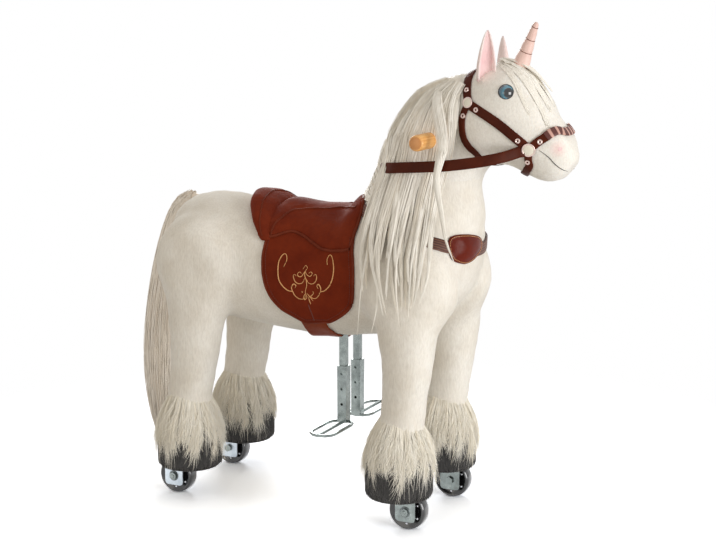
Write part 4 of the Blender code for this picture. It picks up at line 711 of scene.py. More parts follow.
def mottled(tree, colour, pattern, low, end=0.65):
    """A colour, darkened where a pattern is low."""
    shade = ramp(tree, pattern, [(0.30, (*low, 1.0)), (end, (1.0, 1.0, 1.0, 1.0))])
    return blend_colours(tree, 1.0, colour, shade, "MULTIPLY")


def bump(tree, shader, height, strength, distance, before=None):
    node = add(tree, "ShaderNodeBump")
    set_inputs(node, {"Strength": strength, "Distance": distance})
    link(tree, height, node, "Height")
    if before is not None:
        link(tree, before, node, "Normal")
    link(tree, node.outputs["Normal"], shader, "Normal")
    return node.outputs["Normal"]


def attribute(tree, name):
    return add(tree, "ShaderNodeAttribute", attribute_name=name).outputs["Fac"]


def plush_material(name, light, dark, streak=(70.0, 70.0, 16.0)):
    """Short pile: a soft colour drift, fine streaks and two sizes of tuft."""
    made, tree, shader = new_material(name)
    fine = noise(tree, 5.0, 5.0, 0.62, streak)
    broad = noise(tree, 16.0, 3.0, 0.5)
    colour = ramp(tree, broad, [(0.30, linear(*dark)), (0.62, linear(*light))])
    link(tree, mottled(tree, colour, fine, (0.88, 0.87, 0.86), 0.62), shader, "Base Color")
    set_inputs(shader, {"Roughness": 0.92, "Specular IOR Level": 0.15, "Sheen Weight": 0.35,
                        "Sheen Roughness": 0.45, "Sheen Tint": (1.0, 0.99, 0.97, 1.0),
                        "Subsurface Weight": 0.12, "Subsurface Scale": 0.006,
                        "Subsurface Radius": (1.0, 0.9, 0.8)})
    tuft = noise(tree, 190.0, 4.0, 0.65, (1.0, 1.0, 0.45))
    lump = noise(tree, 26.0, 3.0, 0.5, (1.0, 1.0, 0.7))
    first = bump(tree, shader, lump, 0.30, 0.006)
    bump(tree, shader, tuft, 0.35, 0.0022, first)
    return made


def hair_material(name, light, mid, dark, gloss=0.42):
    """Hair whose colour comes from each strand's own tint."""
    made, tree, shader = new_material(name)
    colour = ramp(tree, attribute(tree, "tint"), [(0.0, linear(*dark)), (0.35, linear(*mid)),
                                                  (0.75, linear(*light)), (1.0, linear(*light))])
    drift = noise(tree, 3.0, 3.0, 0.6, (40.0, 40.0, 6.0))
    link(tree, mottled(tree, colour, drift, (0.90, 0.885, 0.86)), shader, "Base Color")
    set_inputs(shader, {"Roughness": gloss, "Specular IOR Level": 0.35, "Sheen Weight": 0.7,
                        "Sheen Roughness": 0.5, "Sheen Tint": (1.0, 0.97, 0.92, 1.0)})
    return made


def leather_material(name, base, worn, roughness, grain=420.0):
    """Mottled leather with a fine grain and broader creases."""
    made, tree, shader = new_material(name)
    broad = noise(tree, 14.0, 4.0, 0.6)
    fine = noise(tree, 90.0, 4.0, 0.6)
    colour = ramp(tree, broad, [(0.30, linear(*base)), (0.72, linear(*worn))])
    link(tree, mottled(tree, colour, fine, (0.86, 0.84, 0.83)), shader, "Base Color")
    link(tree, maths(tree, "MULTIPLY_ADD", fine, 0.20, roughness - 0.08), shader, "Roughness")
    shader.inputs["Specular IOR Level"].default_value = 0.09
    cells = add(tree, "ShaderNodeTexVoronoi", feature="DISTANCE_TO_EDGE")
    cells.inputs["Scale"].default_value = grain
    link(tree, stretched(tree), cells, "Vector")
    first = bump(tree, shader, noise(tree, 34.0, 4.0, 0.55), 0.22, 0.004)
    bump(tree, shader, cells.outputs["Distance"], 0.35, 0.0006, first)
    return made


def plain_material(name, colour, roughness, metallic=0.0, coat=0.0, wear=0.04, scale=60.0, bump_size=0.0002):
    """A hard finish whose gloss and colour drift a little."""
    made, tree, shader = new_material(name)
    drift = noise(tree, scale, 4.0, 0.6)
    colour = linear(*colour)[:3]
    low = tuple(c * (1 - 2 * wear) for c in colour) + (1.0,)
    high = tuple(min(c * (1 + wear), 1.0) for c in colour) + (1.0,)
    link(tree, ramp(tree, drift, [(0.30, low), (0.70, high)]), shader, "Base Color")
    link(tree, maths(tree, "MULTIPLY_ADD", drift, 0.16, max(roughness - 0.08, 0.02)), shader, "Roughness")
    set_inputs(shader, {"Metallic": metallic, "Coat Weight": coat, "Coat Roughness": 0.06})
    bump(tree, shader, drift, 0.25, bump_size)
    return made


plush = plush_material("plush_white", (249, 245, 237), (238, 232, 221))
plush_head = plush_material("plush_head", (250, 247, 241), (241, 237, 229), (70.0, 70.0, 40.0))
plush_ear = plush_material("plush_ear", (253, 240, 238), (250, 228, 227))
hair = hair_material("fur_cream", (254, 251, 244), (251, 243, 228), (232, 214, 186))
tail_hair = hair_material("fur_tail", (254, 248, 240), (248, 236, 222), (232, 212, 188), 0.5)
cuff_hair = hair_material("fur_cuff", (255, 252, 243), (254, 248, 233), (248, 236, 214), 0.6)
hoof_hair = hair_material("fur_black", (46, 45, 46), (26, 26, 27), (10, 10, 10), 0.55)
hoof_plush = plush_material("plush_black", (52, 51, 52), (26, 26, 27))
pink_plush = plush_material("ear_pink", (252, 222, 222), (247, 208, 210))
leather = leather_material("leather_dark", (102, 31, 11), (124, 45, 19), 0.68)
tan = leather_material("leather_tan", (102, 31, 13), (130, 50, 24), 0.68)
girth_tan = leather_material("leather_girth", (116, 44, 14), (138, 60, 24), 0.55)
piping = leather_material("leather_piping", (96, 38, 22), (128, 58, 38), 0.64)
thread = plain_material("thread_dark", (92, 36, 22), 0.7, wear=0.10, scale=400.0)
gold = plain_material("thread_gold", (236, 178, 116), 0.5, wear=0.14, scale=500.0, bump_size=0.0005)
bridle = leather_material("strap_brown", (62, 22, 11), (88, 36, 18), 0.46, 600.0)
badge_leather = leather_material("badge_brown", (92, 28, 16), (112, 38, 22), 0.16, 500.0)
zinc = plain_material("zinc_plate", (142, 150, 148), 0.26, 1.0, wear=0.16, scale=70.0)
frame_paint = plain_material("frame_paint", (44, 44, 46), 0.5)
steel = plain_material("spring_steel", (150, 152, 156), 0.34, 1.0)
tyre = plain_material("wheel_black", (24, 24, 26), 0.24, coat=0.7, wear=0.10, scale=30.0)
screw_metal = plain_material("screw_bright", (226, 228, 232), 0.22, 1.0)
rivet_metal = plain_material("rivet_rosy", (206, 184, 176), 0.34, 0.9)
cream_disc = plain_material("disc_cream", (236, 230, 214), 0.42, wear=0.05, coat=0.2)
mouth_thread = plain_material("thread_mouth", (60, 58, 60), 0.7)
plywood = plain_material("plywood", (194, 158, 112), 0.7, wear=0.12, scale=25.0)


# Hair

def unit(vectors):
    return vectors / (np.linalg.norm(vectors, axis=-1, keepdims=True) + 1e-12)


def strands(name, paths, radii, tints, sides=3, painted_root_shade=0.25, outward=None):
    """Tapered strands along paths: paths is (count, steps, 3), radii is (steps,) or one number.

    Where outward is given, a strand is a low ridge that faces that way, as hair lies in a lock.
    """
    paths = np.asarray(paths, dtype=np.float64)
    count, steps, _ = paths.shape
    radii = np.broadcast_to(radii, (count, steps))
    along = unit(np.gradient(paths, axis=1))
    helper, section = outward, [(1.3, 0.0), (0.0, 0.75), (-1.3, 0.0)]
    if outward is None:
        helper = np.where(np.abs(along[..., 2:3]) < 0.8, np.array([0.0, 0.0, 1.0]), np.array([1.0, 0.0, 0.0]))
        section = round_turns(sides)
    side = unit(np.cross(along, helper))
    out = np.cross(side, along)
    rings = [paths + (side * a + out * b) * radii[..., None] for a, b in section]
    points = np.stack(rings, axis=2).reshape(-1, 3)
    base = (np.arange(count) * steps * sides)[:, None, None]
    k = (np.arange(steps - 1) * sides)[None, :, None]
    i = np.arange(sides)[None, None, :]
    j = (i + 1) % sides
    quads = np.stack([base + k + j, base + k + i, base + k + sides + i, base + k + sides + j], axis=-1)
    made = array_mesh(name, points, quads.reshape(-1, 4))
    # Each strand is darker near its root: painted shade where the hair meets the body or its backing.
    tints = np.asarray(tints)[:, None] - painted_root_shade * np.exp(-np.linspace(0, 1, steps) * 5.0)[None, :]
    paint(made, "tint", np.repeat(np.clip(tints, 0, 1).reshape(-1), sides))
    if outward is not None:
        made.data.shade_flat()
    return made


def taper(steps, thick, tip=0.25, root=0.8):
    """A strand's radius at each step, from its root to its tip."""
    share = np.linspace(0, 1, steps)
    return thick * np.minimum(root + (1 - root) * share * 5, 1.0) * (1 - (1 - tip) * share ** 3)


def graded(count, stops, values):
    """Values at even steps along a strand or a strap, from a few stops."""
    return np.interp(np.linspace(0, 1, count), stops, values)


def lock_paths(guide, widths, count, rng, wave, clump, turns=1.5, flat=0.45, facing=None):
    """Strands that fill a flattened lock round a guide curve."""
    along = unit(np.gradient(guide, axis=0))
    outward = guide * np.array([0.0, 1.0, 0.0]) if facing is None else facing
    across = unit(np.cross(along, unit(outward)))
    out = np.cross(across, along)
    share = np.linspace(0, 1, len(guide))
    narrow = widths * (1 - clump * share ** 2)
    paths = np.empty((count, len(guide), 3))
    for n in range(count):
        angle = rng.uniform(0, 2 * math.pi)
        reach = math.sqrt(rng.uniform(0.02, 1.0))
        phase = rng.uniform(-0.5, 0.5)
        sway = wave * np.sin(2 * math.pi * turns * share + phase) * share
        base = at_shares(guide, share * (1 - rng.uniform(0.0, 0.10)), share)
        paths[n] = (base + across * (math.cos(angle) * reach * narrow + sway)[:, None]
                    + out * (math.sin(angle) * reach * flat * narrow)[:, None])
    return paths


# Camera: one fitted to the photograph, and rays through its picture

CAMERA_PLACE = Vector((1.3373, -2.6864, 1.0004))
CAMERA_AIM = Vector((0.0255, 0.0, 0.4550))
FOCAL = 1600.0
MIDDLE_U, MIDDLE_V = 358, 270
view_ahead = (CAMERA_AIM - CAMERA_PLACE).normalized()
view_right = view_ahead.cross(UP).normalized()
view_up = view_right.cross(view_ahead)


def sight_line(u, v):
    """The direction of the ray through a point of the 716 by 540 picture."""
    return (view_ahead + view_right * (u - MIDDLE_U) / FOCAL + view_up * (MIDDLE_V - v) / FOCAL).normalized()


def at_y(u, v, y):
    """The point on a ray at a distance to one side of the animal's middle."""
    along = sight_line(u, v)
    return CAMERA_PLACE + along * ((y - CAMERA_PLACE.y) / along.y)


def seen(u, v, lift=0.0, tree=None, fallback_y=-0.10):
    """Where the picture's point lies on the skin, lifted, and the normal there."""
    along = sight_line(u, v)
    hit, normal, _, _ = (tree or skin_tree).ray_cast(CAMERA_PLACE, along)
    if hit is None:
        return at_y(u, v, fallback_y), Vector((0.0, -1.0, 0.0))
    normal = turned_to(normal, -along)
    return hit + normal * lift, normal


def seen_line(pixels, lift=0.0, tree=None):
    return [seen(u, v, lift, tree)[0] for u, v in pixels]


def on_side(vector, sign):
    """A place or a direction, moved to one side of the animal's middle plane."""
    return Vector((vector[0], sign * abs(vector[1]), vector[2]))


def mirrored(points):
    return [Vector((p.x, -p.y, p.z)) for p in points]


def tree_of(made):
    return BVHTree.FromPolygons([v.co.copy() for v in made.data.vertices],
                                [tuple(p.vertices) for p in made.data.polygons])


def dress(made, finish):
    made.data.materials.clear()
    made.data.materials.append(finish)
    return made


def attach(made, body, slot, *nodes, fill=None):
    """Let a piece ride on a body, and hide the imported pieces that it replaces; its slot and fill are not
    used.
    """
    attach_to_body(made, body)
    if nodes:
        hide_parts(*nodes)


# Skin pieces

def skin_piece(name, keep):
    quads = skin_quads[keep]
    used, inverse = np.unique(quads.ravel(), return_inverse=True)
    made = array_mesh(name, skin_points[used], inverse.reshape(-1, 4))
    made.data.normals_split_custom_set_from_vertices([tuple(n) for n in rest_normals[used]])
    return made


centres = skin_points[skin_quads].mean(axis=1)
trunk_at = sample(trunk_field, centres)
TORSO, COLLAR, HEAD, FORE_LEG, HIND_LEG = 0, 1, 2, 3, 5
label = np.full(len(centres), TORSO)
label[centres[:, 2] > NECK_PLANE_Z] = COLLAR
label[centres[:, 2] > COLLAR_TOP_Z] = HEAD
for index, (side, sign) in enumerate(SIDES):
    flank = centres[:, 1] * sign > LEG_INNER_Y
    fore_at = sample(fore_fields[side], centres)
    hind_at = sample(hind_fields[side], centres)
    label[flank & (fore_at < trunk_at + 0.001) & (centres[:, 2] < LEG_TOP_Z)] = FORE_LEG + index
    label[flank & (hind_at < trunk_at + 0.001) & (hind_at < fore_at)] = HIND_LEG + index

torso_skin = dress(skin_piece("torso_skin", label == TORSO), plush)
collar_skin = dress(skin_piece("neck_collar_skin", label == COLLAR), plush)
head_skin = dress(skin_piece("neck_and_head_skin", label == HEAD), plush_head)
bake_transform(collar_skin)
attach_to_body(torso_skin, "body")
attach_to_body(head_skin, "neck")
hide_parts("torso_plush", "belly_panel")
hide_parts("neck_plush", "head_plush")


def across_joint(made):
    """Plush that crosses a hip: only its transform is baked into its mesh."""
    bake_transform(made)


LEG_ENDS = (("fore", "front_legs", SHOULDER, fore_fields), ("hind", "rear_legs", HIP, hind_fields))
for index, (side, sign) in enumerate(SIDES):
    for first, (end, legs, pivot, _) in zip((FORE_LEG, HIND_LEG), LEG_ENDS):
        made = dress(skin_piece("%s_leg_skin_%s" % (end, side), label == first + index), plush)
        across_joint(made)
        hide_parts("%s_leg_%s" % (end, side))


def lining(name, values):
    """A closed surface a little inside the skin, which shows in the creases when the legs swing."""
    made = face_outwards(dress(array_mesh(name, *field_mesh(blurred(values, 3) + LINING_DEPTH)), plush))
    return made


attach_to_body(lining("torso_lining", torso_field), "body")
for side, sign in SIDES:
    for end, legs, pivot, fields in LEG_ENDS:
        across_joint(lining("%s_leg_lining_%s" % (end, side), fields[side]))


# Cuffs and hooves

CUFF_TOP = 0.2085
CUFF_RINGS = ((0.0, 0.0405), (0.012, 0.0445), (0.035, 0.0520), (0.060, 0.0580), (0.085, 0.0620),
              (0.108, 0.0640), (0.128, 0.0645), (0.150, 0.0645))
HOOF_TOP = 0.118
HOOF_BOTTOM = 0.0605


def cuff_radius(drop):
    drop = clamp(drop, 0.0, CUFF_RINGS[-1][0])
    for k, (low, high) in enumerate(zip(CUFF_RINGS, CUFF_RINGS[1:])):
        if drop <= high[0]:
            return spline(CUFF_RINGS, k + (drop - low[0]) / (high[0] - low[0]))[1]
    return CUFF_RINGS[-1][1]


def polar_path(x, y, radius, turn, z):
    return np.stack([x + radius * np.cos(turn), y + radius * np.sin(turn), z], axis=1)


def cuff_backing(name, x, y):
    """An opaque cone under the fur, a little wider to front and back at its top."""
    rings = []
    for drop in [k * 0.0070 for k in range(11)]:
        radius = cuff_radius(drop) - 0.005
        wide = 1.02 if drop < 0.02 else 1.0
        rings.append([(x + a * wide, y + b, CUFF_TOP - drop) for a, b in circle(radius, 40)])
    core = dress(loft(name + "_cuff_backing", rings), cuff_hair)
    place = points_of(core)
    streak = np.sin(np.arctan2(place[:, 1] - y, place[:, 0] - x) * 23) * 0.12
    paint(core, "tint", 0.62 + streak)
    return core


def cuff_fur(name, x, y, rng):
    """Long fur in clumps, down over the hoof."""
    clump_count = 90
    clump_angle = np.sort(rng.uniform(0, 2 * math.pi, clump_count))
    clump_end = np.where(rng.uniform(0, 1, clump_count) < 0.80, rng.uniform(0.116, 0.148, clump_count),
                         rng.uniform(0.086, 0.116, clump_count))
    clump_drift = rng.normal(0, 0.16, clump_count)
    clump_tint = rng.uniform(-0.22, 0.14, clump_count)
    count, steps = 6600, 6
    share = np.linspace(0, 1, steps)
    paths = np.empty((count, steps, 3))
    outward = np.empty((count, steps, 3))
    tints = np.empty(count)
    for n in range(count):
        angle = rng.uniform(0, 2 * math.pi)
        apart = (clump_angle - angle + math.pi) % (2 * math.pi) - math.pi
        near = int(np.argmin(np.abs(apart)))
        start = CUFF_TOP - 0.074 * rng.uniform(0, 1) ** 1.15
        end = max(min(clump_end[near] + rng.normal(0, 0.008) - 0.026 * (n % 13 == 0), start - 0.018), 0.064)
        layer = rng.uniform(-0.0015, 0.0025) + 0.003 * (1 - (CUFF_TOP - start) / 0.092)
        turn = (angle + apart[near] * 0.55 * share ** 1.6 + clump_drift[near] * share ** 1.5
                + rng.normal(0, 0.13) * share ** 2)
        z = start + (end - start) * share
        arch = np.array([cuff_radius(CUFF_TOP - value) for value in z])
        fray = (rng.normal(0, 0.0036) + (rng.uniform(0.0, 0.008) if n % 9 == 0 else 0.0)) * share ** 2
        radius = arch - 0.004 + (layer + 0.004) * np.sin(np.minimum(share * 2.4, math.pi / 2)) + fray
        paths[n] = polar_path(x, y, radius, turn, z)
        outward[n] = polar_path(0.0, 0.0, 1.0, turn, np.full(steps, 0.25))
        tints[n] = np.clip(rng.uniform(0.40, 0.95) + clump_tint[near], 0.05, 1.0)
    return dress(strands(name + "_cuff_fur", paths, taper(steps, 0.00037, 0.2), tints, painted_root_shade=0.03,
                         outward=outward), cuff_hair)


def hoof_core(name, x, y, recess_x, recess_radius):
    """The stuffed hoof, open below round the wheel fork."""
    rings = [level_ring(x, y, z, radius) for radius, z in (
        (0.030, HOOF_TOP), (0.0530, HOOF_TOP - 0.003), (0.0560, 0.095), (0.0575, 0.075),
        (0.0580, HOOF_BOTTOM + 0.003), (0.0565, HOOF_BOTTOM))]
    rings += [level_ring(recess_x, y, z, recess_radius) for z in (HOOF_BOTTOM, 0.086)]
    return dress(loft(name + "_hoof_plush", rings), hoof_plush)


def hoof_fur(name, x, y, rng):
    """Short black hair over the hoof, up under the cuff."""
    count, steps = 4600, 5
    share = np.linspace(0, 1, steps)
    paths = np.empty((count, steps, 3))
    for n in range(count):
        angle = rng.uniform(0, 2 * math.pi)
        start = rng.uniform(0.078, 0.150)
        end = max(rng.uniform(0.0605, 0.072), start - 0.040)
        turn = angle + rng.normal(0, 0.06) * share
        radius = 0.0578 + 0.0035 * np.sin(share * math.pi) + rng.uniform(-0.0005, 0.0035) * share
        paths[n] = polar_path(x, y, radius, turn, start + (end - start) * share)
    outward = paths - np.array([x, y, 0.0])
    outward[..., 2] = 0.01
    return dress(strands(name + "_hoof_nap", paths, taper(steps, 0.0006, 0.3), rng.uniform(0.1, 1.0, count),
                         outward=unit(outward)), hoof_hair)


for index, (side, sign) in enumerate(SIDES):
    for end, x, body, recess_x, recess_radius, seed in (
            ("fore", 0.1615, "front_legs", SHOULDER[0], 0.046, 11),
            ("hind", -0.2900, "rear_legs", REAR_FOOT_X - 0.016, 0.0405, 21)):
        name, y = "%s_%s" % (end, side), sign * LEG_Y
        rng = np.random.default_rng(seed + index)
        attach(cuff_backing(name, x, y), body, "fur_cream", "%s_cuff_%s" % (end, side), fill=0.9)
        attach(cuff_fur(name, x, y, rng), body, "fur_cream")
        attach(hoof_core(name, x, y, recess_x, recess_radius), body, "plush_black",
               "%s_hoof_%s" % (end, side), fill=0.9)
        attach(hoof_fur(name, x, y, rng), body, "plush_black")


# Tail

TAIL_GUIDE = ((-0.312, 0.560), (-0.344, 0.574), (-0.370, 0.545), (-0.388, 0.475), (-0.400, 0.400),
              (-0.410, 0.330), (-0.416, 0.260), (-0.418, 0.190), (-0.416, 0.120), (-0.412, 0.062))
TAIL_STEPS = 33
TAIL_SIZE = (0.010, 0.018, 0.026, 0.033, 0.036, 0.038, 0.038, 0.035, 0.029, 0.016)


def tail_pieces():
    rng = np.random.default_rng(31)
    guide = resample([(x, 0.0, z) for x, z in TAIL_GUIDE], TAIL_STEPS)
    stations = np.linspace(0, 1, TAIL_STEPS)
    sizes = graded(TAIL_STEPS, np.linspace(0, 1, len(TAIL_SIZE)), TAIL_SIZE)
    sideways = Vector((0.0, 1.0, 0.0))
    rings = []
    for k in range(TAIL_STEPS):
        along = Vector(guide[min(k + 1, TAIL_STEPS - 1)] - guide[max(k - 1, 0)]).normalized()
        rings.append([Vector(guide[k]) + along.cross(sideways) * a * 0.84 + sideways * b * 0.80
                      for a, b in circle(sizes[k], 20)])
    core = dress(loft("tail_backing", rings), tail_hair)
    # The backing takes darker tints than the strands over it: painted shade between the strands.
    paint(core, "tint", 0.35 + 0.1 * np.sin(np.arange(len(core.data.vertices)) * 1.7))
    count, steps = 2300, 12
    share = np.linspace(0, 1, steps)
    paths = np.empty((count, steps, 3))
    outward = np.empty((count, steps, 3))
    for n in range(count):
        first = 0.05 + 0.55 * rng.uniform(0, 1) ** 2.2
        last = min(first + rng.uniform(0.45, 0.75), rng.uniform(0.90, 1.0))
        track = first + (last - first) * share
        along = unit(at_shares(guide, track + 0.02, stations) - at_shares(guide, track - 0.02, stations))
        across = np.cross(along, [0.0, 1.0, 0.0])
        size = np.interp(track, stations, sizes)
        angle = rng.uniform(0, 2 * math.pi) + rng.normal(0, 0.25) * share
        reach = rng.uniform(0.78, 1.02) + 0.05 * np.sin(share * 7 + rng.uniform(0, 6))
        outward[n] = across * np.cos(angle)[:, None] + np.sin(angle)[:, None] * np.array([0.0, 1.0, 0.0])
        paths[n] = at_shares(guide, track, stations) + outward[n] * (size * reach)[:, None]
    fur = dress(strands("tail_hair", paths, taper(steps, 0.0010, 0.3, 0.5), rng.uniform(0.50, 1.0, count),
                        painted_root_shade=0.05, outward=outward), tail_hair)
    attach(core, "body", "fur_cream", "tail", fill=0.8)
    attach(fur, "body", "fur_cream")


tail_pieces()


# Mane

def mane_pad():
    """An opaque backing under the locks, over the crest and down the right of the neck."""
    columns, rows = 26, 22
    outer, inner = [], []
    for i in range(columns):
        u = i / (columns - 1)
        full = mix(0.004, 0.009, smooth(u * 2.0))
        for j in range(rows):
            v = j / (rows - 1)
            place, normal = on_neck(mix(0.15, 3.95, u), mix(-20.0, 92.0, v))
            edge = (1 - abs(2 * u - 1) ** 4) * (1 - abs(2 * v - 1) ** 3)
            inner.append(place - normal * 0.002)
            outer.append(place + normal * (0.001 + full * max(edge, 0.0) ** 0.5))
    made = slab("mane_backing", outer, inner, columns, rows)
    paint(made, "tint", 0.60 + 0.16 * np.sin(np.arange(len(made.data.vertices)) % rows * 2.1))
    return dress(made, hair)


def lock_guide(pixels, lifts):
    """A lock's line from points in the picture: on the skin where the ray meets it, and lifted."""
    places = []
    depth = -0.03
    for (u, v), lift in zip(pixels, lifts):
        along = sight_line(u, v)
        hit, normal, _, _ = skin_tree.ray_cast(CAMERA_PLACE, along)
        if hit is None or hit.y > depth + 0.07:
            places.append(at_y(u, v, depth - 0.004))
        else:
            drop = lift / max(abs(normal.dot(along)), 0.35)
            places.append(hit - along * drop)
        depth = min(places[-1].y, depth + 0.02)
    return resample(places, LOCK_STEPS)


# The mane's front and back edges and its single locks, in the picture
LOCK_STEPS = 17
FRONT_EDGE = ((462, 83), (455, 98), (451, 115), (450, 135), (447, 158), (440, 190), (434, 225), (430, 255),
              (426, 282), (421, 306))
BACK_EDGE = ((447, 81), (422, 92), (405, 112), (391, 134), (385, 158), (375, 190), (364, 228), (361, 262),
             (365, 292), (372, 320))


def lying_normals(paths, axis=(0.21, 0.0, -0.12)):
    """Which way the skin under each step of the strands faces; axis tells its outer side."""
    flat = np.asarray(paths).reshape(-1, 3)
    away = np.empty_like(flat)
    for n, p in enumerate(flat):
        near, normal, _, _ = skin_tree.find_nearest(Vector(p))
        away[n] = turned_to(normal, Vector((near.x - axis[0], near.y - axis[1], -axis[2])))
    return away.reshape(np.shape(paths))


# Points in the picture, lift, width and number of strands
SINGLE_LOCKS = (
    (((440, 84), (437, 102), (441, 128), (443, 150), (438, 166), (436, 182), (442, 214), (446, 240),
      (454, 262)),
     (0.012, 0.020, 0.042, 0.066, 0.074, 0.068, 0.042, 0.026, 0.018), 0.0110, 150),
    (((418, 104), (404, 140), (396, 175), (384, 215), (374, 255), (378, 300), (371, 334)), 0.016, 0.0035, 22),
    (((408, 112), (392, 150), (384, 190), (370, 240), (362, 285), (357, 337)), 0.015, 0.0030, 18),
    (((430, 96), (420, 140), (414, 180), (404, 225), (396, 270), (399, 327)), 0.018, 0.0050, 34),
    (((424, 100), (411, 130), (405, 170), (398, 205), (391, 250), (386, 300)), 0.017, 0.0055, 34),
    (((440, 90), (428, 120), (424, 170), (420, 215), (412, 262), (408, 318)), 0.017, 0.0060, 34),
    (((446, 86), (440, 112), (430, 150), (427, 190), (424, 240), (420, 296)), 0.016, 0.0060, 34),
    (((452, 84), (449, 110), (447, 140), (444, 168), (436, 196)), 0.012, 0.0060, 30),
    (((458, 82), (456, 108), (454, 136), (451, 160)), 0.010, 0.0055, 30),
    (((418, 110), (407, 140), (400, 172), (395, 204), (391, 232), (389, 262), (385, 296)), 0.017, 0.0065, 60),
)


def mane_locks():
    """Three layers of locks between the mane's two edges, and the single locks over them."""
    rng = np.random.default_rng(41)
    all_paths, all_tints = [], []
    count, in_lock, last = 15, 36, len(FRONT_EDGE)
    for layer in range(3):
        for n in range(count):
            t = (n + 0.5 + rng.uniform(-0.3, 0.3)) / count
            beat = np.sin(np.linspace(0, 1, last) * 2 * math.pi * rng.uniform(1.2, 2.0) + rng.uniform(0, 6.3))
            sway = (beat * rng.uniform(1.5, 4.0) + rng.normal(0, 1.2, last)) * np.linspace(0.15, 1.0, last)
            pixels = [(mix(f[0], b[0], t) + sway[k], mix(f[1], b[1], t))
                      for k, (f, b) in enumerate(zip(FRONT_EDGE, BACK_EDGE))]
            pixels = pixels[:int(rng.integers(last - 3, last + 1))]
            rise = 0.0065 + 0.0035 * layer
            guide = lock_guide(pixels, [rise * (0.5 + 0.8 * smooth(k / 3)) for k in range(len(pixels))])
            widths = graded(LOCK_STEPS, [0, 0.25, 0.7, 1], [0.008, 0.010, 0.0085, 0.0025])
            turns = rng.uniform(1, 2)
            all_paths.append(lock_paths(guide, widths, in_lock, rng, 0.0015, 0.45, turns))
            # The two lower layers take darker tints than the top one: painted shade deep in the mane.
            base = rng.uniform(0.30, 0.90) if layer < 2 else rng.uniform(0.60, 0.98)
            all_tints.append(np.clip(base + rng.normal(0, 0.10, in_lock), 0.05, 1.0))
    for pixels, lift, width, in_lock in SINGLE_LOCKS:
        if isinstance(lift, float):
            lift = [lift * (0.45 + 0.55 * smooth(k / 2)) for k in range(len(pixels))]
        widths = width * graded(LOCK_STEPS, [0, 0.3, 0.55, 0.8, 1], [0.8, 1.1, 0.62, 0.5, 0.1])
        all_paths.append(lock_paths(lock_guide(pixels, lift), widths, in_lock, rng, 0.0012, 0.4))
        all_tints.append(np.clip(rng.uniform(0.65, 0.95) + rng.normal(0, 0.08, in_lock), 0.1, 1.0))
    every = np.concatenate(all_paths)
    radii = taper(LOCK_STEPS, 0.00080, 0.25, 0.6)
    return dress(strands("mane_locks", every, radii, np.concatenate(all_tints), painted_root_shade=0.05,
                         outward=lying_normals(every)), hair)


def crest_hair():
    """Short hair that rolls over the crest and down the left of it."""
    rng = np.random.default_rng(43)
    count, steps = 700, 7
    paths = np.empty((count, steps, 3))
    for n in range(count):
        row = rng.uniform(0.1, 3.95)
        first = rng.uniform(-26.0, 0.0)
        last = rng.uniform(25.0, 60.0)
        ends = min((4.0 - row) / 0.7, 1.0)
        rise = (0.002 + 0.008 * min(row / 1.5, 1.0)) * ends
        for k in range(steps):
            share = k / (steps - 1)
            place, normal = on_neck(max(row - 0.35 * share, 0.0), mix(first, last, share))
            lift = 0.001 + 0.002 * ends + rise * math.sin(math.pi * min(share + 0.15, 1.0))
            paths[n, k] = place + normal * lift
    return dress(strands("mane_crest", paths, taper(steps, 0.0010, 0.4, 0.5), rng.uniform(0.4, 1.0, count),
                         painted_root_shade=0.05, outward=lying_normals(paths)), hair)


attach(mane_pad(), "neck", "fur_cream", "mane", fill=0.6)
mane_fall = mane_locks()
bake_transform(mane_fall)
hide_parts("mane_fall")
attach(crest_hair(), "neck", "fur_cream")

# Points in the picture, lift, width and number of strands
FORELOCK = (
    (((503, 60), (513, 66), (524, 78), (534, 94), (543, 112), (549, 128)), 0.0030, 0.0090, 150),
    (((507, 59), (518, 66), (531, 78), (542, 94), (551, 112)), 0.0036, 0.0095, 150),
    (((512, 60), (524, 67), (537, 79), (547, 93), (556, 108)), 0.0034, 0.0090, 130),
    (((500, 62), (508, 70), (517, 84), (524, 100), (530, 116)), 0.0024, 0.0060, 60),
    (((502, 58), (510, 61), (519, 67), (529, 77)), 0.0060, 0.0120, 140),
    (((506, 58), (517, 61), (528, 66), (541, 77), (553, 92)), 0.0040, 0.0090, 110),
)
FORELOCK_STEPS = 12
FORELOCK_AXIS = (0.33, 0.0, -0.08)


def forelock():
    rng = np.random.default_rng(47)
    all_paths, tints = [], []
    for pixels, lift, width, amount in FORELOCK:
        places = []
        for k, (u, v) in enumerate(pixels):
            rise = 0.42 * lift * math.sin(math.pi * (0.15 + 0.75 * k / (len(pixels) - 1)))
            spot, normal = seen(u, v, fallback_y=-0.004)
            places.append(spot + normal * rise)
        guide = resample(places, FORELOCK_STEPS)
        widths = width * graded(FORELOCK_STEPS, [0, 0.3, 1], [1.0, 1.2, 0.55])
        all_paths.append(lock_paths(guide, widths, amount, rng, 0.0008, 0.15, flat=0.12,
                                    facing=lying_normals(guide, FORELOCK_AXIS)))
        tints.append(rng.uniform(0.62, 1.0, amount))
    every = np.concatenate(all_paths)
    return dress(strands("forelock", every, taper(FORELOCK_STEPS, 0.00055, 0.25, 0.6), np.concatenate(tints),
                         painted_root_shade=0.0, outward=lying_normals(every, FORELOCK_AXIS)), hair)


attach(forelock(), "neck", "fur_cream")


# Ears, horn, eyes and mouth

# How far up an ear each ring lies, its half width and its depth
EAR_ROWS = ((0.0, 0.0185, 1.0), (0.12, 0.0190, 1.0), (0.30, 0.0185, 0.95), (0.50, 0.0162, 0.9),
            (0.70, 0.0126, 0.85), (0.85, 0.0086, 0.8), (0.95, 0.0052, 0.8), (1.0, 0.0022, 0.8))
EAR_POINTS = 13


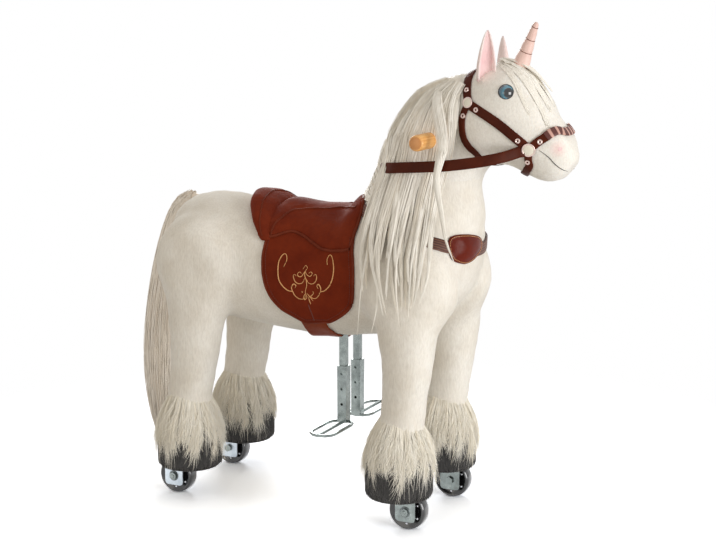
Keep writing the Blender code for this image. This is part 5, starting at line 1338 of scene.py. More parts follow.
def ear(side, sign):
    """A cupped ear: white plush outside and pink inside."""
    root = Vector((0.298, sign * 0.046, 0.822))
    tip = Vector((0.303, -0.052, 0.911)) if sign < 0 else Vector((0.288, 0.062, 0.897))
    facing = Vector((0.72, sign * 0.70, 0.0)).normalized()
    side_way = facing.cross(UP)

    def cup(centre, spread, half, depth):
        turns = [math.radians(mix(-spread, spread, k / (EAR_POINTS - 1))) for k in range(EAR_POINTS)]
        return [centre + side_way * math.sin(turn) * half - facing * math.cos(turn) * half * depth
                for turn in turns]

    shell_rings, lining_points = [], []
    for rise, half, depth in EAR_ROWS:
        centre = root.lerp(tip, rise)
        inner = cup(centre, 118.0, max(half - 0.0034, half * 0.45), 0.66 * depth)
        shell_rings.append(cup(centre, 118.0, half, 0.72 * depth) + inner[::-1])
        lining_points += cup(centre, 112.0, max(half - 0.0026, half * 0.5), 0.62 * depth)
    shell = subdivide(loft("ear_shell_" + side, shell_rings))
    faces = []
    for k in range(len(EAR_ROWS) - 1):
        for a in range(k * EAR_POINTS, (k + 1) * EAR_POINTS - 1):
            faces.append((a, a + 1, a + EAR_POINTS + 1, a + EAR_POINTS))
    lining = mesh_object("ear_lining_" + side, lining_points, faces)
    solid = lining.modifiers.new("solid", "SOLIDIFY")
    solid.thickness = 0.0016
    solid.offset = 0.0
    settle(lining)
    lining.data.shade_smooth()
    attach(dress(shell, plush_ear), "neck", "ear_pink", "ear_" + side, fill=0.5)
    attach(dress(lining, pink_plush), "neck", "ear_pink")


for side, sign in SIDES:
    ear(side, sign)


def satin_material():
    made, tree, shader = new_material("horn_satin")
    link(tree, ramp(tree, noise(tree, 60.0, 4.0, 0.6), [(0.3, linear(230, 192, 182)),
                                                        (0.7, linear(240, 208, 198))]), shader, "Base Color")
    set_inputs(shader, {"Roughness": 0.38, "Sheen Weight": 0.5})
    weave = add(tree, "ShaderNodeTexWave", wave_type="BANDS", bands_direction="Z")
    set_inputs(weave, {"Scale": 260.0, "Distortion": 3.0})
    link(tree, stretched(tree), weave, "Vector")
    bump(tree, shader, weave.outputs["Fac"], 0.3, 0.0004)
    return made


def horn_pieces():
    """A stuffed cone, pulled in where thread is wound round it."""
    base = Vector((0.3420, 0.0, 0.8370))
    axis = Vector((0.3745, 0.0, 0.9250)) - base
    along = axis.normalized()
    side_way = Vector((0.0, 1.0, 0.0))
    front = side_way.cross(along)
    base_radius, tip_radius, round_from = 0.0170, 0.0048, 0.93
    pulls = (0.125, 0.41, 0.655, 0.90)
    rings = []
    for k in range(57):
        share = k / 56
        radius = mix(base_radius, tip_radius, share)
        if share > round_from:
            radius *= math.sqrt(max(1 - ((share - round_from) / 0.072) ** 2, 0.02))
        near = min(abs(share - pull) for pull in pulls)
        radius *= 0.90 + 0.12 * min(near / 0.10, 1.0) ** 0.5
        rings.append(ring_about(base + axis * share, side_way, front, radius, 28))
    cone = dress(loft("horn_satin_cone", rings), satin_material())
    attach(cone, "neck", "horn_satin", "horn", fill=1.0)
    bronze = plain_material("thread_bronze", (140, 98, 84), 0.45, wear=0.12, scale=300.0)
    for number, pull in enumerate(pulls):
        radius = mix(base_radius, tip_radius, pull) * 0.92
        path = ring_about(base + axis * pull, side_way, front, radius, 32)
        path = [p + along * (0.0010 * math.cos(2 * math.pi * k / 32 + 0.8)) for k, p in enumerate(path)]
        wrap = sweep("horn_wrap_%d" % (number + 1), path, circle(0.0009, 6), [along] * 32, closed=True)
        attach(dress(wrap, bronze), "neck", "horn_satin")


horn_pieces()


def eye_material(name, centre, gaze):
    """Dark rim, teal iris and black pupil, by the angle from the eye's gaze."""
    made, tree, shader = new_material(name)
    away = vector_maths(tree, "SUBTRACT", object_place(tree), centre)
    facing = vector_maths(tree, "DOT_PRODUCT", vector_maths(tree, "NORMALIZE", away), gaze, "Value")
    colour = ramp(tree, facing, [
        (0.0, linear(20, 60, 78)), (0.30, linear(20, 72, 94)), (0.55, linear(38, 112, 138)),
        (0.74, linear(54, 132, 156)), (0.80, linear(18, 56, 74)), (0.825, linear(4, 5, 7))])
    link(tree, colour, shader, "Base Color")
    set_inputs(shader, {"Roughness": 0.04, "Coat Weight": 1.0, "Coat Roughness": 0.01})
    return made


def eye(side, sign):
    """A glossy ball sunk in the face, with a thin black rim."""
    centre = Vector((0.3400, sign * 0.0550, 0.8060))
    surface, normal = onto_skin(centre + Vector((0.02, sign * 0.06, 0.0)), centre)
    gaze = Vector((0.68, sign * 0.73, 0.04)).normalized()
    middle = surface - normal * 0.0070
    bm = bmesh.new()
    bmesh.ops.create_uvsphere(bm, u_segments=36, v_segments=24, radius=0.0146,
                              matrix=Matrix.Translation(middle))
    ball = bmesh_object("eye_ball_" + side, bm)
    dress(ball, eye_material("eye_" + side, tuple(middle), tuple(gaze)))
    attach(ball, "neck", "eye_blue", "eye_" + side)
    across = normal.cross(UP).normalized()
    path = ring_about(middle + normal * 0.0068, across, across.cross(normal), 0.0130, 32)
    rim = sweep("eye_rim_" + side, path, circle(0.0008, 8), normals=[normal] * 32, closed=True)
    attach(dress(rim, mouth_thread), "neck", "plush_black")


for side, sign in SIDES:
    eye(side, sign)


def add_blush(made, place, reach, strength):
    """Tint a plush pink round a place, the same on both sides."""
    tree = made.node_tree
    shader = tree.nodes["Principled BSDF"]
    came = shader.inputs["Base Color"].links[0].from_socket
    mirrored_place = vector_maths(tree, "ABSOLUTE", object_place(tree))
    away = vector_maths(tree, "DISTANCE", mirrored_place, (place[0], abs(place[1]), place[2]), "Value")
    near = add(tree, "ShaderNodeMapRange", interpolation_type="SMOOTHSTEP")
    set_inputs(near, {"From Min": reach, "From Max": reach * 0.15, "To Max": strength})
    link(tree, away, near, "Value")
    link(tree, blend_colours(tree, near.outputs["Result"], came, linear(250, 196, 194)), shader, "Base Color")


add_blush(plush_head, seen(558.0, 149.0)[0], 0.020, 0.38)

MOUTH = ((539.5, 150.5), (544, 153.5), (549.7, 158), (554, 163), (558.6, 167), (563, 169.6), (567.6, 171))
MOUTH_STEPS = 26
mouth_line = resample(seen_line(MOUTH, 0.0004), MOUTH_STEPS)
mouth_scales = [mix(0.4, 1.0, math.sin(math.pi * k / (MOUTH_STEPS - 1))) for k in range(MOUTH_STEPS)]
nostril_spot, nostril_normal = seen(560.5, 149, -0.0006)
NOSTRIL = ((0.0, 0.0010), (0.0030, 0.0008), (0.0046, 0.0002), (0.0052, -0.0010), (0.0, -0.0014))
for side, sign in SIDES:
    places = []
    for p in mouth_line:
        start = on_side(p, sign)
        places.append(onto_skin(start + Vector((0.01, sign * 0.03, 0.0)), start, 0.0003)[0])
    stitch = sweep("mouth_stitch_" + side, places, circle(0.0008, 6), scales=mouth_scales)
    attach(dress(stitch, mouth_thread), "neck", "plush_black")
    nostril = turned("nostril_" + side, NOSTRIL, on_side(nostril_spot, sign),
                     on_side(nostril_normal, sign).normalized(), 20)
    attach(dress(nostril, pink_plush), "neck", "ear_pink")


# Bridle

def striped_material(name, base, line, count):
    """Leather with fine lines along it, from the place across the strap."""
    made, tree, shader = new_material(name)
    wave = maths(tree, "SINE", maths(tree, "MULTIPLY", attribute(tree, "across"), count * math.pi))
    lines = ramp(tree, maths(tree, "MULTIPLY_ADD", wave, 0.5), [(0.60, linear(*base)), (0.86, linear(*line))])
    fine = noise(tree, 120.0, 4.0, 0.6)
    link(tree, mottled(tree, lines, fine, (0.84, 0.82, 0.81)), shader, "Base Color")
    shader.inputs["Roughness"].default_value = 0.5
    bump(tree, shader, wave, 0.4, 0.0005)
    return made


breast_leather = striped_material("strap_striped", (74, 36, 24), (120, 76, 54), 5)
nose_leather = striped_material("strap_ribbon", (88, 40, 32), (214, 168, 154), 9)
STRAP_LIFT = 0.0008
STRAP_THICK = 0.0028
HEAD_MIDDLE = (0.26, 0.0, 0.77)
MUZZLE_MIDDLE = (0.40, 0.0, 0.70)


def strap(name, path, normals, width, thickness, finish, body, *nodes, scales=None, cad_slot="strap_brown"):
    section = band_section(width, thickness)
    made = dress(sweep(name, path, section, normals, scales=scales), finish)
    paint(made, "across", np.tile([a / (width / 2) for a, _ in section], len(path)))
    attach(made, body, cad_slot, *nodes)
    return made


def beside(place):
    """A point inside the head or the neck, near a place on its side."""
    return (place.x - 0.03, 0.0, 0.72 if place.x > 0.2 else 0.6)


def seen_run(pixels, count, sign, middle=None):
    """Points and normals along one side by the picture; middle adds an end at y 0."""
    places = seen_line(pixels) + ([Vector(middle)] if middle is not None else [])
    points, normals = laid_on_skin(resample(places, count), beside, STRAP_LIFT)
    return [[Vector((v.x, -sign * v.y, v.z)) for v in row] for row in (points, normals)]


crown_near = seen_run(((468.8, 102), (467.6, 90), (468.4, 82), (470.5, 75.5)), 16, -1.0)[0]
crest_stops = resample([(4.16, 0.75), (4.16, 0.0), (4.16, -0.75)], 9)
crest_run = [on_neck(row, angle * 40.0, STRAP_LIFT)[0] for row, angle in crest_stops]
crown_points = crown_near + crest_run + mirrored(crown_near[::-1])
strap("headstall_crown", *laid_on_skin(resample(crown_points[::2], 46), HEAD_MIDDLE, STRAP_LIFT),
      0.0160, STRAP_THICK, bridle, "neck", "headstall")


def rivet(name, place, normal, radius=0.0050):
    shares = ((0.0, 0.0002), (0.30, 0.0003), (0.36, 0.0014), (0.62, 0.0022), (0.88, 0.0016), (1.0, 0.0002),
              (1.0, -0.0012), (0.0, -0.0012))
    attach(dress(turned(name, [(radius * r, h) for r, h in shares], place, normal, 22), rivet_metal),
           "neck", "zinc_plate")


def ring_piece(name, place, normal, radius, wire):
    """A cream disc in a round wire rim."""
    edge = radius - wire * 1.4
    disc = [(0.0, 0.0018), (edge * 0.5, 0.0016), (edge * 0.85, 0.0010), (edge, 0.0004), (edge, -0.0016),
            (0.0, -0.0016)]
    attach(dress(turned(name + "_disc", disc, place, normal, 32), cream_disc), "neck", "zinc_plate")
    loop = []
    for k in range(13):
        angle = math.pi * (1.25 - 1.5 * k / 12)
        loop.append((radius - wire + wire * math.cos(angle), wire * 0.9 * math.sin(angle)))
    loop += [(edge, -0.0017), (edge - 0.0002, -0.0017), loop[0]]
    rim = dress(turned(name + "_rim", loop, place, normal, 40), rivet_metal)
    attach(rim, "neck", "zinc_plate")
    return rim


RIVET_PIXELS = ((467.7, 90.8), (477, 110), (464, 116), (518, 140.2), (515.8, 151.8), (528.2, 161.2),
                (540.2, 141.6))
STRAP_LINES = (
    ("cheek_strap", ((470.5, 105), (488, 116.5), (504, 128.2), (525.5, 146)), 30, 0.0168, None, None),
    ("throat_latch", ((467.8, 104.5), (463, 117), (462.6, 129), (464.5, 139), (470, 147.5), (479.5, 156.5)),
     40, 0.0125, (0.318, 0.0, 0.640), (1.0, 1.0, 1.0, 0.85, 0.55, 0.30)),
    ("nose_side", ((530.5, 148), (538, 142), (547, 136.2)), 14, 0.0155, None, None),
    ("chin_strap", ((528.7, 152), (528.6, 160), (529.5, 166.0)), 24, 0.0140, at_y(528.0, 167.5, 0.0), None),
)
for side, sign in SIDES:
    for name, pixels, count, width, middle, narrowing in STRAP_LINES:
        scales = None
        if narrowing:
            scales = graded(count, np.linspace(0, 1, len(narrowing)), narrowing).tolist()
        strap(name + "_" + side, *seen_run(pixels, count, -sign, middle), width, STRAP_THICK, bridle,
              "neck", scales=scales)
    for name, (u, v), radius, wire in (("crown_ring_", (468.9, 103.0), 0.0100, 0.0013),
                                       ("bit_ring_", (528.7, 149.2), 0.0122, 0.0015)):
        spot, normal = seen(u, v, 0.0052)
        rim = ring_piece(name + side, on_side(spot, sign), on_side(normal, sign), radius, wire)
    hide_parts("bit_ring_" + side)
    for k, (u, v) in enumerate(RIVET_PIXELS):
        spot, normal = seen(u, v, 0.0036)
        rivet("rivet_%s_%d" % (side, k + 1), on_side(spot, sign), on_side(normal, sign))

bridge_near = seen_line(((546, 136.8), (552, 132.8), (558.6, 131.0), (564.5, 132.4)))
bridge_run = laid_on_skin(resample(bridge_near + mirrored(bridge_near[::-1]), 60), MUZZLE_MIDDLE,
                          STRAP_LIFT + 0.0004)
noseband = strap("nose_bands", *bridge_run, 0.0165, 0.0030, nose_leather, "neck", "noseband")
paint(noseband, "across", np.repeat(np.linspace(-1, 1, 60), 11))

rein_near = [seen(524.5, 150.6, 0.0026)[0]] + [at_y(u, v, y) for u, v, y in (
    (518.0, 152.4, -0.062), (508, 155.8, -0.076), (497, 158.6, -0.090), (478, 162.2, -0.106),
    (447.7, 165.8, -0.120), (425, 167.0, -0.118), (404, 167.6, -0.113), (394, 167.9, -0.108),
    (386, 168.1, -0.092), (382.0, 168.3, -0.064), (382.5, 168.6, -0.030))]
rein_back = Vector((0.076, 0.0, rein_near[-1].z))
rein_far = [Vector((p.x, abs(p.y) * (1.0 if p.x > 0.33 else 0.84), p.z)) for p in rein_near[::-1]]
rein_path = resample(rein_near + [rein_back] + rein_far, 90)
rein_normals = [Vector((p[0] - 0.21, p[1] * 1.7, 0.0)).normalized() + UP * 0.15 for p in rein_path]
strap("rein_strap", rein_path, rein_normals, 0.0195, STRAP_THICK, bridle, "neck", "rein")


# Breast strap and badge

def chest_run(count, reach=132.0):
    """Points and normals round the chest, rising towards the back."""
    run = []
    for k in range(count):
        turn = mix(-reach, reach, k / (count - 1))
        share = abs(turn) / 100.0
        z = mix(0.513, 0.568, (share - 0.35 * max(share - 0.75, 0.0) ** 2) ** 1.5)
        centre = Vector((0.150, 0.0, z))
        out = Vector((math.cos(math.radians(turn)), math.sin(math.radians(turn)), 0.0))
        run.append(onto_skin(centre + out * 0.4, centre, STRAP_LIFT))
    return [p for p, _ in run], [n for _, n in run]


strap("breast_band", *chest_run(96), 0.0220, 0.0030, breast_leather, "body", "breast_strap")

BADGE_PIXELS = ((448.0, 246), (448.6, 239.0), (453, 235.6), (460, 234.3), (469, 234.2), (477.0, 235.8),
                (480.6, 240.0), (481.2, 246), (479.3, 251), (475.7, 256), (471, 260.6), (464, 263.6),
                (457.5, 263.0), (451.5, 259.8), (448.8, 253.5))
BADGE_LEVELS = ((1.0, 0.0008), (1.0, 0.0032), (0.965, 0.0044), (0.90, 0.0042), (0.80, 0.0054), (0.6, 0.0070),
                (0.35, 0.0082), (0.1, 0.0088))
BADGE_SEAM = 0.90


def stitches(name, line, length, gap, radius, finish):
    """A row of short thread stitches along a line."""
    line = np.array([tuple(p) for p in line])
    steps = lengths_along(line)
    count = max(int(steps[-1] / (length + gap)), 1)
    paths = [at_shares(line, n * (length + gap) + np.linspace(0, length, 4), steps) for n in range(count)]
    return dress(strands(name, paths, radius, np.ones(count), sides=5, painted_root_shade=0.0), finish)


def drawn_in(pixel, centre, share):
    """A point of the picture, moved towards a centre."""
    return tuple(c + (p - c) * share for p, c in zip(pixel, centre))


def badge():
    """A glossy shield sewn on the breast strap, with a stitched edge."""
    outline = resample(BADGE_PIXELS + BADGE_PIXELS[:1], 57)[:-1]
    rings = []
    for share, lift in BADGE_LEVELS:
        ring = [seen(*drawn_in(pixel, (464.5, 248.5), share)) for pixel in outline]
        rings.append([spot + normal * lift for spot, normal in ring])
        if share == BADGE_SEAM:
            seam_line = [spot + normal * (lift + 0.0005) for spot, normal in ring]
    attach(dress(loft("badge_shield", rings), badge_leather), "body", "badge_brown", "chest_badge", fill=0.9)
    attach(stitches("badge_stitching", seam_line + seam_line[:1], 0.0022, 0.0014, 0.0005, gold),
           "body", "badge_brown")


badge()


# Saddle

SKIRT_PIXELS = ((262.7, 238.0), (272.7, 238.4), (281, 236.4), (290, 234.2), (298, 235.8), (305.8, 239.7),
                (314, 245.4), (322.4, 250.4), (328, 251.8), (334, 252.0), (342, 250.2), (350.6, 247.6))
SEAT_REAR, SEAT_FRONT = -0.133, 0.054


def skirt_angle(x, z):
    """How far down the flank a point of the skirt's edge lies, in degrees from the back."""
    belly, back, _ = body_row(x)
    ratio = clamp((z - (belly + back) / 2) / ((back - belly) / 2), 0.0, 0.98)
    return math.degrees(math.acos(ratio ** (ROUNDNESS / 2)))


SEAT_COLUMNS = 60
skirt_line = resample(seen_line(SKIRT_PIXELS), SEAT_COLUMNS)
skirt_edge = [(p[0], skirt_angle(p[0], p[2])) for p in skirt_line]


def seat_spot(i, t):
    """The place on the flank of column i of the seat, t from the middle line to the skirt's edge."""
    along = i / (SEAT_COLUMNS - 1)
    x_edge, angle = skirt_edge[i]
    x = mix(mix(SEAT_REAR, SEAT_FRONT, along), x_edge, abs(t) ** 1.5)
    x += 0.020 * math.sin(math.pi * abs(t) ** 1.2) * along ** 6
    return on_body(x, angle * t)


def seat_height(share, along):
    """Thickness of the seat from its middle line to its edge, and from rear to front."""
    ends = (1 - abs(2 * along - 1) ** 6) ** 0.5 * (1 - 0.45 * smooth((along - 0.6) / 0.4))
    if share < 0.40:
        top = 0.019 + 0.010 * (1 - (share / 0.40) ** 2)
    else:
        top = 0.0045 + 0.0145 * (1 - ((share - 0.40) / 0.60) ** 2) ** 0.8
    return 0.004 + (top - 0.004) * max(ends, 0.0)


def seat():
    """The seat cushion and the line round its upper edge."""
    columns, rows = SEAT_COLUMNS, 81
    outer, inner = [], []
    for i in range(columns):
        for j in range(rows):
            t = 2 * j / (rows - 1) - 1
            spot, normal = seat_spot(i, t)
            inner.append(spot + normal * 0.0010)
            outer.append(spot + normal * seat_height(abs(t), i / (columns - 1)))
    made = slab("seat_cushion", outer, inner, columns, rows)
    edge = outer[::rows] + outer[(columns - 1) * rows + 1:] + outer[rows - 1::rows][::-1][1:]
    return made, edge + outer[:rows][::-1][1:-1]


def puffed(made, pressure):
    """Fill a closed cushion like a bag of cloth under pressure, held at its seams, then refine it."""
    mesh_change = made.modifiers.new("voxels", "REMESH")
    mesh_change.mode = "VOXEL"
    mesh_change.voxel_size = CLOTH_VOXEL
    settle(made)
    made.data.shade_smooth()
    rest = points_of(made)
    group = made.vertex_groups.new(name="seams")
    held = [n for n, p in enumerate(rest) if skin_tree.find_nearest(Vector(p))[3] < SEAM_REACH]
    group.add(held, 1.0, "REPLACE")
    cloth = made.modifiers.new("cloth", "CLOTH")
    for key, value in CLOTH_SETTINGS:
        setattr(cloth.settings, key, value)
    cloth.settings.uniform_pressure_force = pressure
    cloth.settings.effector_weights.gravity = 0.0
    cloth.point_cache.frame_start = 1
    cloth.point_cache.frame_end = CLOTH_FRAMES
    for step in range(1, CLOTH_FRAMES + 1):
        bpy.context.scene.frame_set(step)
    shown = made.evaluated_get(bpy.context.evaluated_depsgraph_get())
    push = vectors_of(shown.data.vertices, "co") - rest
    size = np.linalg.norm(push, axis=1, keepdims=True)
    push *= np.minimum(1.0, PUFF_LIMIT / np.maximum(size, 1e-9))
    made.modifiers.clear()
    made.vertex_groups.clear()
    set_points(made, rest + push)
    bpy.context.scene.frame_set(1)
    return subdivide(made)


SEAM_REACH = 0.0055
PUFF_LIMIT = 0.004
CLOTH_VOXEL = 0.0045
CLOTH_FRAMES = 20
CLOTH_SETTINGS = (("quality", 4), ("mass", 0.3), ("use_pressure", True), ("tension_stiffness", 12),
                  ("compression_stiffness", 12), ("shear_stiffness", 6), ("bending_stiffness", 0.4),
                  ("vertex_group_mass", "seams"))
CORD_RADIUS = 0.0026


def cord(name, path, radius, finish, sides=8, closed=False):
    attach(dress(sweep(name, path, circle(radius, sides), closed=closed), finish), "body", "leather_dark")


def nearest_on(tree, place):
    return tree.find_nearest(Vector(place))[:2]


seat_made, seat_edge = seat()
seat_made = dress(puffed(seat_made, 3.0), tan)
attach(seat_made, "body", "leather_tan", "saddle_seat", fill=0.9)
seat_middle = Vector((0.0, 0.0, 0.44))
seat_edge = [p + (p - seat_middle).normalized() * 0.0004 for p in seat_edge]
cord("seat_piping_edge", seat_edge, CORD_RADIUS, piping, closed=True)
seat_tree = tree_of(seat_made)
WELT_PIXELS = ((367.8, 206.0), (356, 207.0), (345, 207.7), (332, 208.2), (319, 208.3), (306, 208.6),
               (296, 209.6), (289, 212.0), (283, 216.8), (277, 221.4), (273.2, 227), (270.8, 235.5))
welt = resample(seen_line(WELT_PIXELS, 0.0002, seat_tree), 70)
for side, sign in SIDES:
    cord("seat_piping_" + side, [nearest_on(seat_tree, on_side(p, sign))[0] for p in welt], 0.0022, piping)


def cantle():
    """The roll behind the seat, and the line along its crown."""
    rings = []
    columns = 61
    for k in range(columns):
        t = 2 * k / (columns - 1) - 1
        angle = 59.0 * t
        bow = abs(t) ** 1.5
        x_mid = mix(-0.158, -0.112, bow)
        width = mix(0.070, 0.022, bow)
        height = mix(0.0250, 0.0110, bow) * (1 - abs(t) ** 14) ** 0.5 + 0.001
        ring = []
        for i in range(24):
            forward = math.cos(math.pi * i / 23)
            rise = math.sin(math.pi * i / 23) ** 0.62
            spot, normal = on_body(x_mid + forward * width / 2 - rise * 0.006, angle, 0.0012)
            ring.append(spot + normal * (height * rise * (1.0 - 0.18 * forward)))
        below = [on_body(x_mid - width / 2 + width * (i + 0.5) / 6, angle, 0.0006)[0] for i in range(6)]
        rings.append(ring + below)
    return loft("cantle_roll", rings), [ring[11] for ring in rings]


cantle_made, cantle_line = cantle()
cantle_made = dress(puffed(cantle_made, 3.5), tan)
attach(cantle_made, "body", "leather_tan", "saddle_cantle", fill=0.95)
cantle_tree = tree_of(cantle_made)
crown_spots = [nearest_on(cantle_tree, p) for p in resample(cantle_line[2:-2], 70)]
cord("cantle_seam", [spot + normal * 0.0002 for spot, normal in crown_spots], 0.0013, piping, 6)

FLAP_LEFT = ((261.1, 226), (261.1, 239.2), (261.5, 260.8), (262.9, 275.2), (268.7, 294), (279.5, 308.4),
             (291, 316.3), (301.1, 322.8))
FLAP_RIGHT = ((350.1, 226), (350.1, 249.3), (350.9, 260.8), (351.6, 282.4), (349.4, 300.5), (345.8, 309.1),
              (337.9, 316.3), (326.3, 322.8))
FLAP_Y = -0.124
FLAP_TOP_V, FLAP_FOOT_V = 226.0, 322.8
FLAP_OUTLINE = FLAP_LEFT + ((309, 323.1), (318, 323.1)) + FLAP_RIGHT[::-1]
FLAP_CENTRE = (306.0, 270.0)
FLAP_INNER, FLAP_OUTER = 0.0008, 0.0042
FLAP_HANG_Z = 0.420
SEAM_INSET = 3.4


def flap_place(u, v, sign, lift):
    """A point of the picture's flap on one flank, lifted off the skin and hanging out below it."""
    flat = at_y(u, v, FLAP_Y)
    spot, normal = onto_skin((flat.x, sign * 0.30, flat.z), (flat.x, 0.0, flat.z))
    hang = max(0.0, FLAP_HANG_Z - flat.z) * 0.10
    return spot + normal * lift + Vector((0.0, sign * hang, 0.0))


def edge_u(pairs, v):
    return float(np.interp(v, [p[1] for p in pairs], [p[0] for p in pairs]))


def flap(side, sign):
    """A saddle flap with its piping, stitching and fold."""
    columns, rows = 34, 36
    pixels = []
    for i in range(rows):
        v = mix(FLAP_TOP_V, FLAP_FOOT_V, i / (rows - 1))
        left, right = edge_u(FLAP_LEFT, v), edge_u(FLAP_RIGHT, v)
        pixels += [(mix(left, right, j / (columns - 1)), v) for j in range(columns)]

    def laid(places, lift):
        return [flap_place(u, v, sign, lift) for u, v in places]

    outer, inner = laid(pixels, FLAP_OUTER), laid(pixels, FLAP_INNER)
    made = dress(slab("flap_" + side, outer, inner, rows, columns), leather)
    attach(made, "body", "leather_dark", "saddle_flap_" + side)

    outline = [tuple(pixel) for pixel in resample(FLAP_OUTLINE, 120)]
    cord("flap_piping_" + side, laid(outline, CORD_RADIUS), CORD_RADIUS, piping)
    seam_line = [drawn_in(pixel, FLAP_CENTRE, 1 - SEAM_INSET / math.dist(pixel, FLAP_CENTRE))
                 for pixel in outline]
    seam = stitches("flap_stitching_" + side, laid(seam_line, 0.0044), 0.0030, 0.0016, 0.00055, thread)
    attach(seam, "body", "leather_dark")
    fold = laid(((308, 304), (309.5, 309), (310.6, 314), (311.6, 320.5)), FLAP_OUTER)
    cord("flap_seam_" + side, resample(fold, 16), 0.0011, thread, 6)

    for k, stroke in enumerate(EMBROIDERY):
        run = [(EMBROIDERY_U + a / EMBROIDERY_ZOOM, EMBROIDERY_V + b / EMBROIDERY_ZOOM) for a, b in stroke]
        count = max(len(run) * 5, 12)
        scales = [0.45 + 0.55 * math.sin(math.pi * clamp(n / (count - 1), 0.06, 0.94)) for n in range(count)]
        scroll = sweep("flap_scroll_%s_%d" % (side, k + 1), laid(resample(run, count), 0.0046),
                       circle(0.00105 if k < 4 else 0.0008, 6), scales=scales)
        attach(dress(scroll, gold), "body", "leather_tan")


# The scroll's strokes, in an enlargement of the flap
EMBROIDERY_ZOOM = 13.876
EMBROIDERY_U, EMBROIDERY_V = 255, 232
EMBROIDERY = (
    ((395, 490), (425, 410), (412, 348), (375, 328), (340, 370), (322, 450), (322, 560), (345, 670),
     (400, 750), (470, 805), (530, 818), (550, 862), (600, 910), (660, 925), (700, 905), (694, 868)),
    ((988, 470), (978, 400), (1000, 345), (1035, 362), (1066, 430), (1078, 540), (1065, 660), (1025, 750),
     (960, 815), (905, 832), (882, 882), (840, 920), (796, 916), (770, 890)),
    ((530, 818), (518, 765), (545, 720), (578, 738), (566, 772)),
    ((905, 832), (910, 775), (884, 725), (860, 746), (874, 785)),
    ((663, 522), (695, 475), (722, 508), (700, 545), (690, 600), (710, 660), (716, 740), (702, 812),
     (704, 862)),
    ((700, 545), (668, 590), (640, 622), (604, 614), (594, 580), (622, 560), (642, 580)),
    ((698, 560), (728, 600), (762, 616), (792, 582), (770, 560), (744, 578)),
    ((690, 640), (662, 700), (618, 716), (570, 690), (545, 640), (540, 600), (562, 590), (576, 612)),
    ((714, 655), (742, 705), (790, 720), (838, 692), (856, 640), (846, 600), (824, 594), (814, 616)),
    ((708, 846), (678, 890), (692, 932), (722, 900), (704, 850)),
    ((724, 850), (762, 900), (804, 952)),
    ((742, 900), (756, 950), (772, 996)),
    ((800, 822), (806, 858), (764, 892), (742, 880)),
    ((648, 824), (664, 828), (654, 842)),
)

for side, sign in SIDES:
    flap(side, sign)

girth_run = [on_body(-0.0165, mix(112.0, 248.0, k / 59), 0.0008) for k in range(60)]
strap("girth_band", [p for p, _ in girth_run], [n for _, n in girth_run], 0.0540, 0.0032, girth_tan, "body",
      "girth_strap", cad_slot="leather_tan")


# Wheels

def middle_of(name):
    """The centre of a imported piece, and half its size along each axis."""
    low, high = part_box(name)
    return [(a + b) / 2 for a, b in zip(low, high)], [(b - a) / 2 for a, b in zip(low, high)]


SCREW = ((0.0, 0.0014), (0.0008, 0.0016), (0.0019, 0.0010), (0.0021, -0.001), (0.0, -0.001))
SCREW_CIRCLE = 0.0245


def wheel(name):
    """A tread with raised rims, and six screws on each face."""
    centre, (_, half, _) = middle_of(name)
    out = 1.0 if centre[1] > 0 else -1.0
    face = [(0.0048, half), (0.0125, half), (0.0135, half - 0.0008), (0.0140, half - 0.0030),
            (0.0180, half - 0.0040), (0.0275, half - 0.0034), (0.0300, half - 0.0012),
            (0.0330, half - 0.0010), (0.0350, half - 0.0028), (WHEEL_RADIUS, half - 0.0062)]
    section = face + [(r, -h) for r, h in face[::-1]] + [face[0]]
    tread = turned(name + "_tread", section, centre, (0.0, out, 0.0), 64)
    attach(dress(tread, tyre), name, "wheel_black", name)
    for k in range(6):
        angle = math.radians(-90 + 60 * k)
        for letter, way in (("a", 1.0), ("b", -1.0)):
            place = (centre[0] + SCREW_CIRCLE * math.cos(angle), centre[1] + way * (half - 0.0040),
                     centre[2] + SCREW_CIRCLE * math.sin(angle))
            head = turned("%s_screw_%d_%s" % (name, k + 1, letter), SCREW, place, (0.0, way, 0.0), 14)
            attach(dress(head, screw_metal), name, "zinc_plate")


WASHER = ((0.0, 0.0012), (0.0098, 0.0012), (0.0104, 0.0006), (0.0104, -0.0004), (0.0, -0.0004))
NUT = ((0.0, 0.0066), (0.0034, 0.0064), (0.0040, 0.0052), (0.0066, 0.0054), (0.0078, 0.0046),
       (0.0080, 0.0008), (0.0, 0.0008))
# Darker zinc for the washers: partly a duller real washer, partly painted shade round the nuts.
washer_zinc_shaded = plain_material("zinc_washer_painted_shade", (112, 118, 118), 0.3, 1.0, wear=0.12, scale=70.0)


def axle_nut(side, sign, end, carrier, face):
    """A washer and a hexagon nut on the outer face of a wheel plate."""
    x, _, z = middle_of(end + "_axle_" + side)[0]
    for kind, section, sides, finish in (("washer", WASHER, 28, washer_zinc_shaded), ("nut", NUT, 6, zinc)):
        made = turned("%s_%s_%s" % (end, kind, side), section, (x, sign * face, z), (0.0, sign, 0.0), sides)
        attach(dress(made, finish), carrier, "zinc_plate")
        if kind == "nut":
            made.data.shade_flat()


for wheel_name in ("front_wheel_right", "front_wheel_left", "rear_wheel_right", "rear_wheel_left"):
    wheel(wheel_name)
for side, sign in SIDES:
    axle_nut(side, sign, "front", "front_fork_" + side, 0.1241)
    axle_nut(side, sign, "rear", "rear_legs", 0.1236)


# Wooden handle

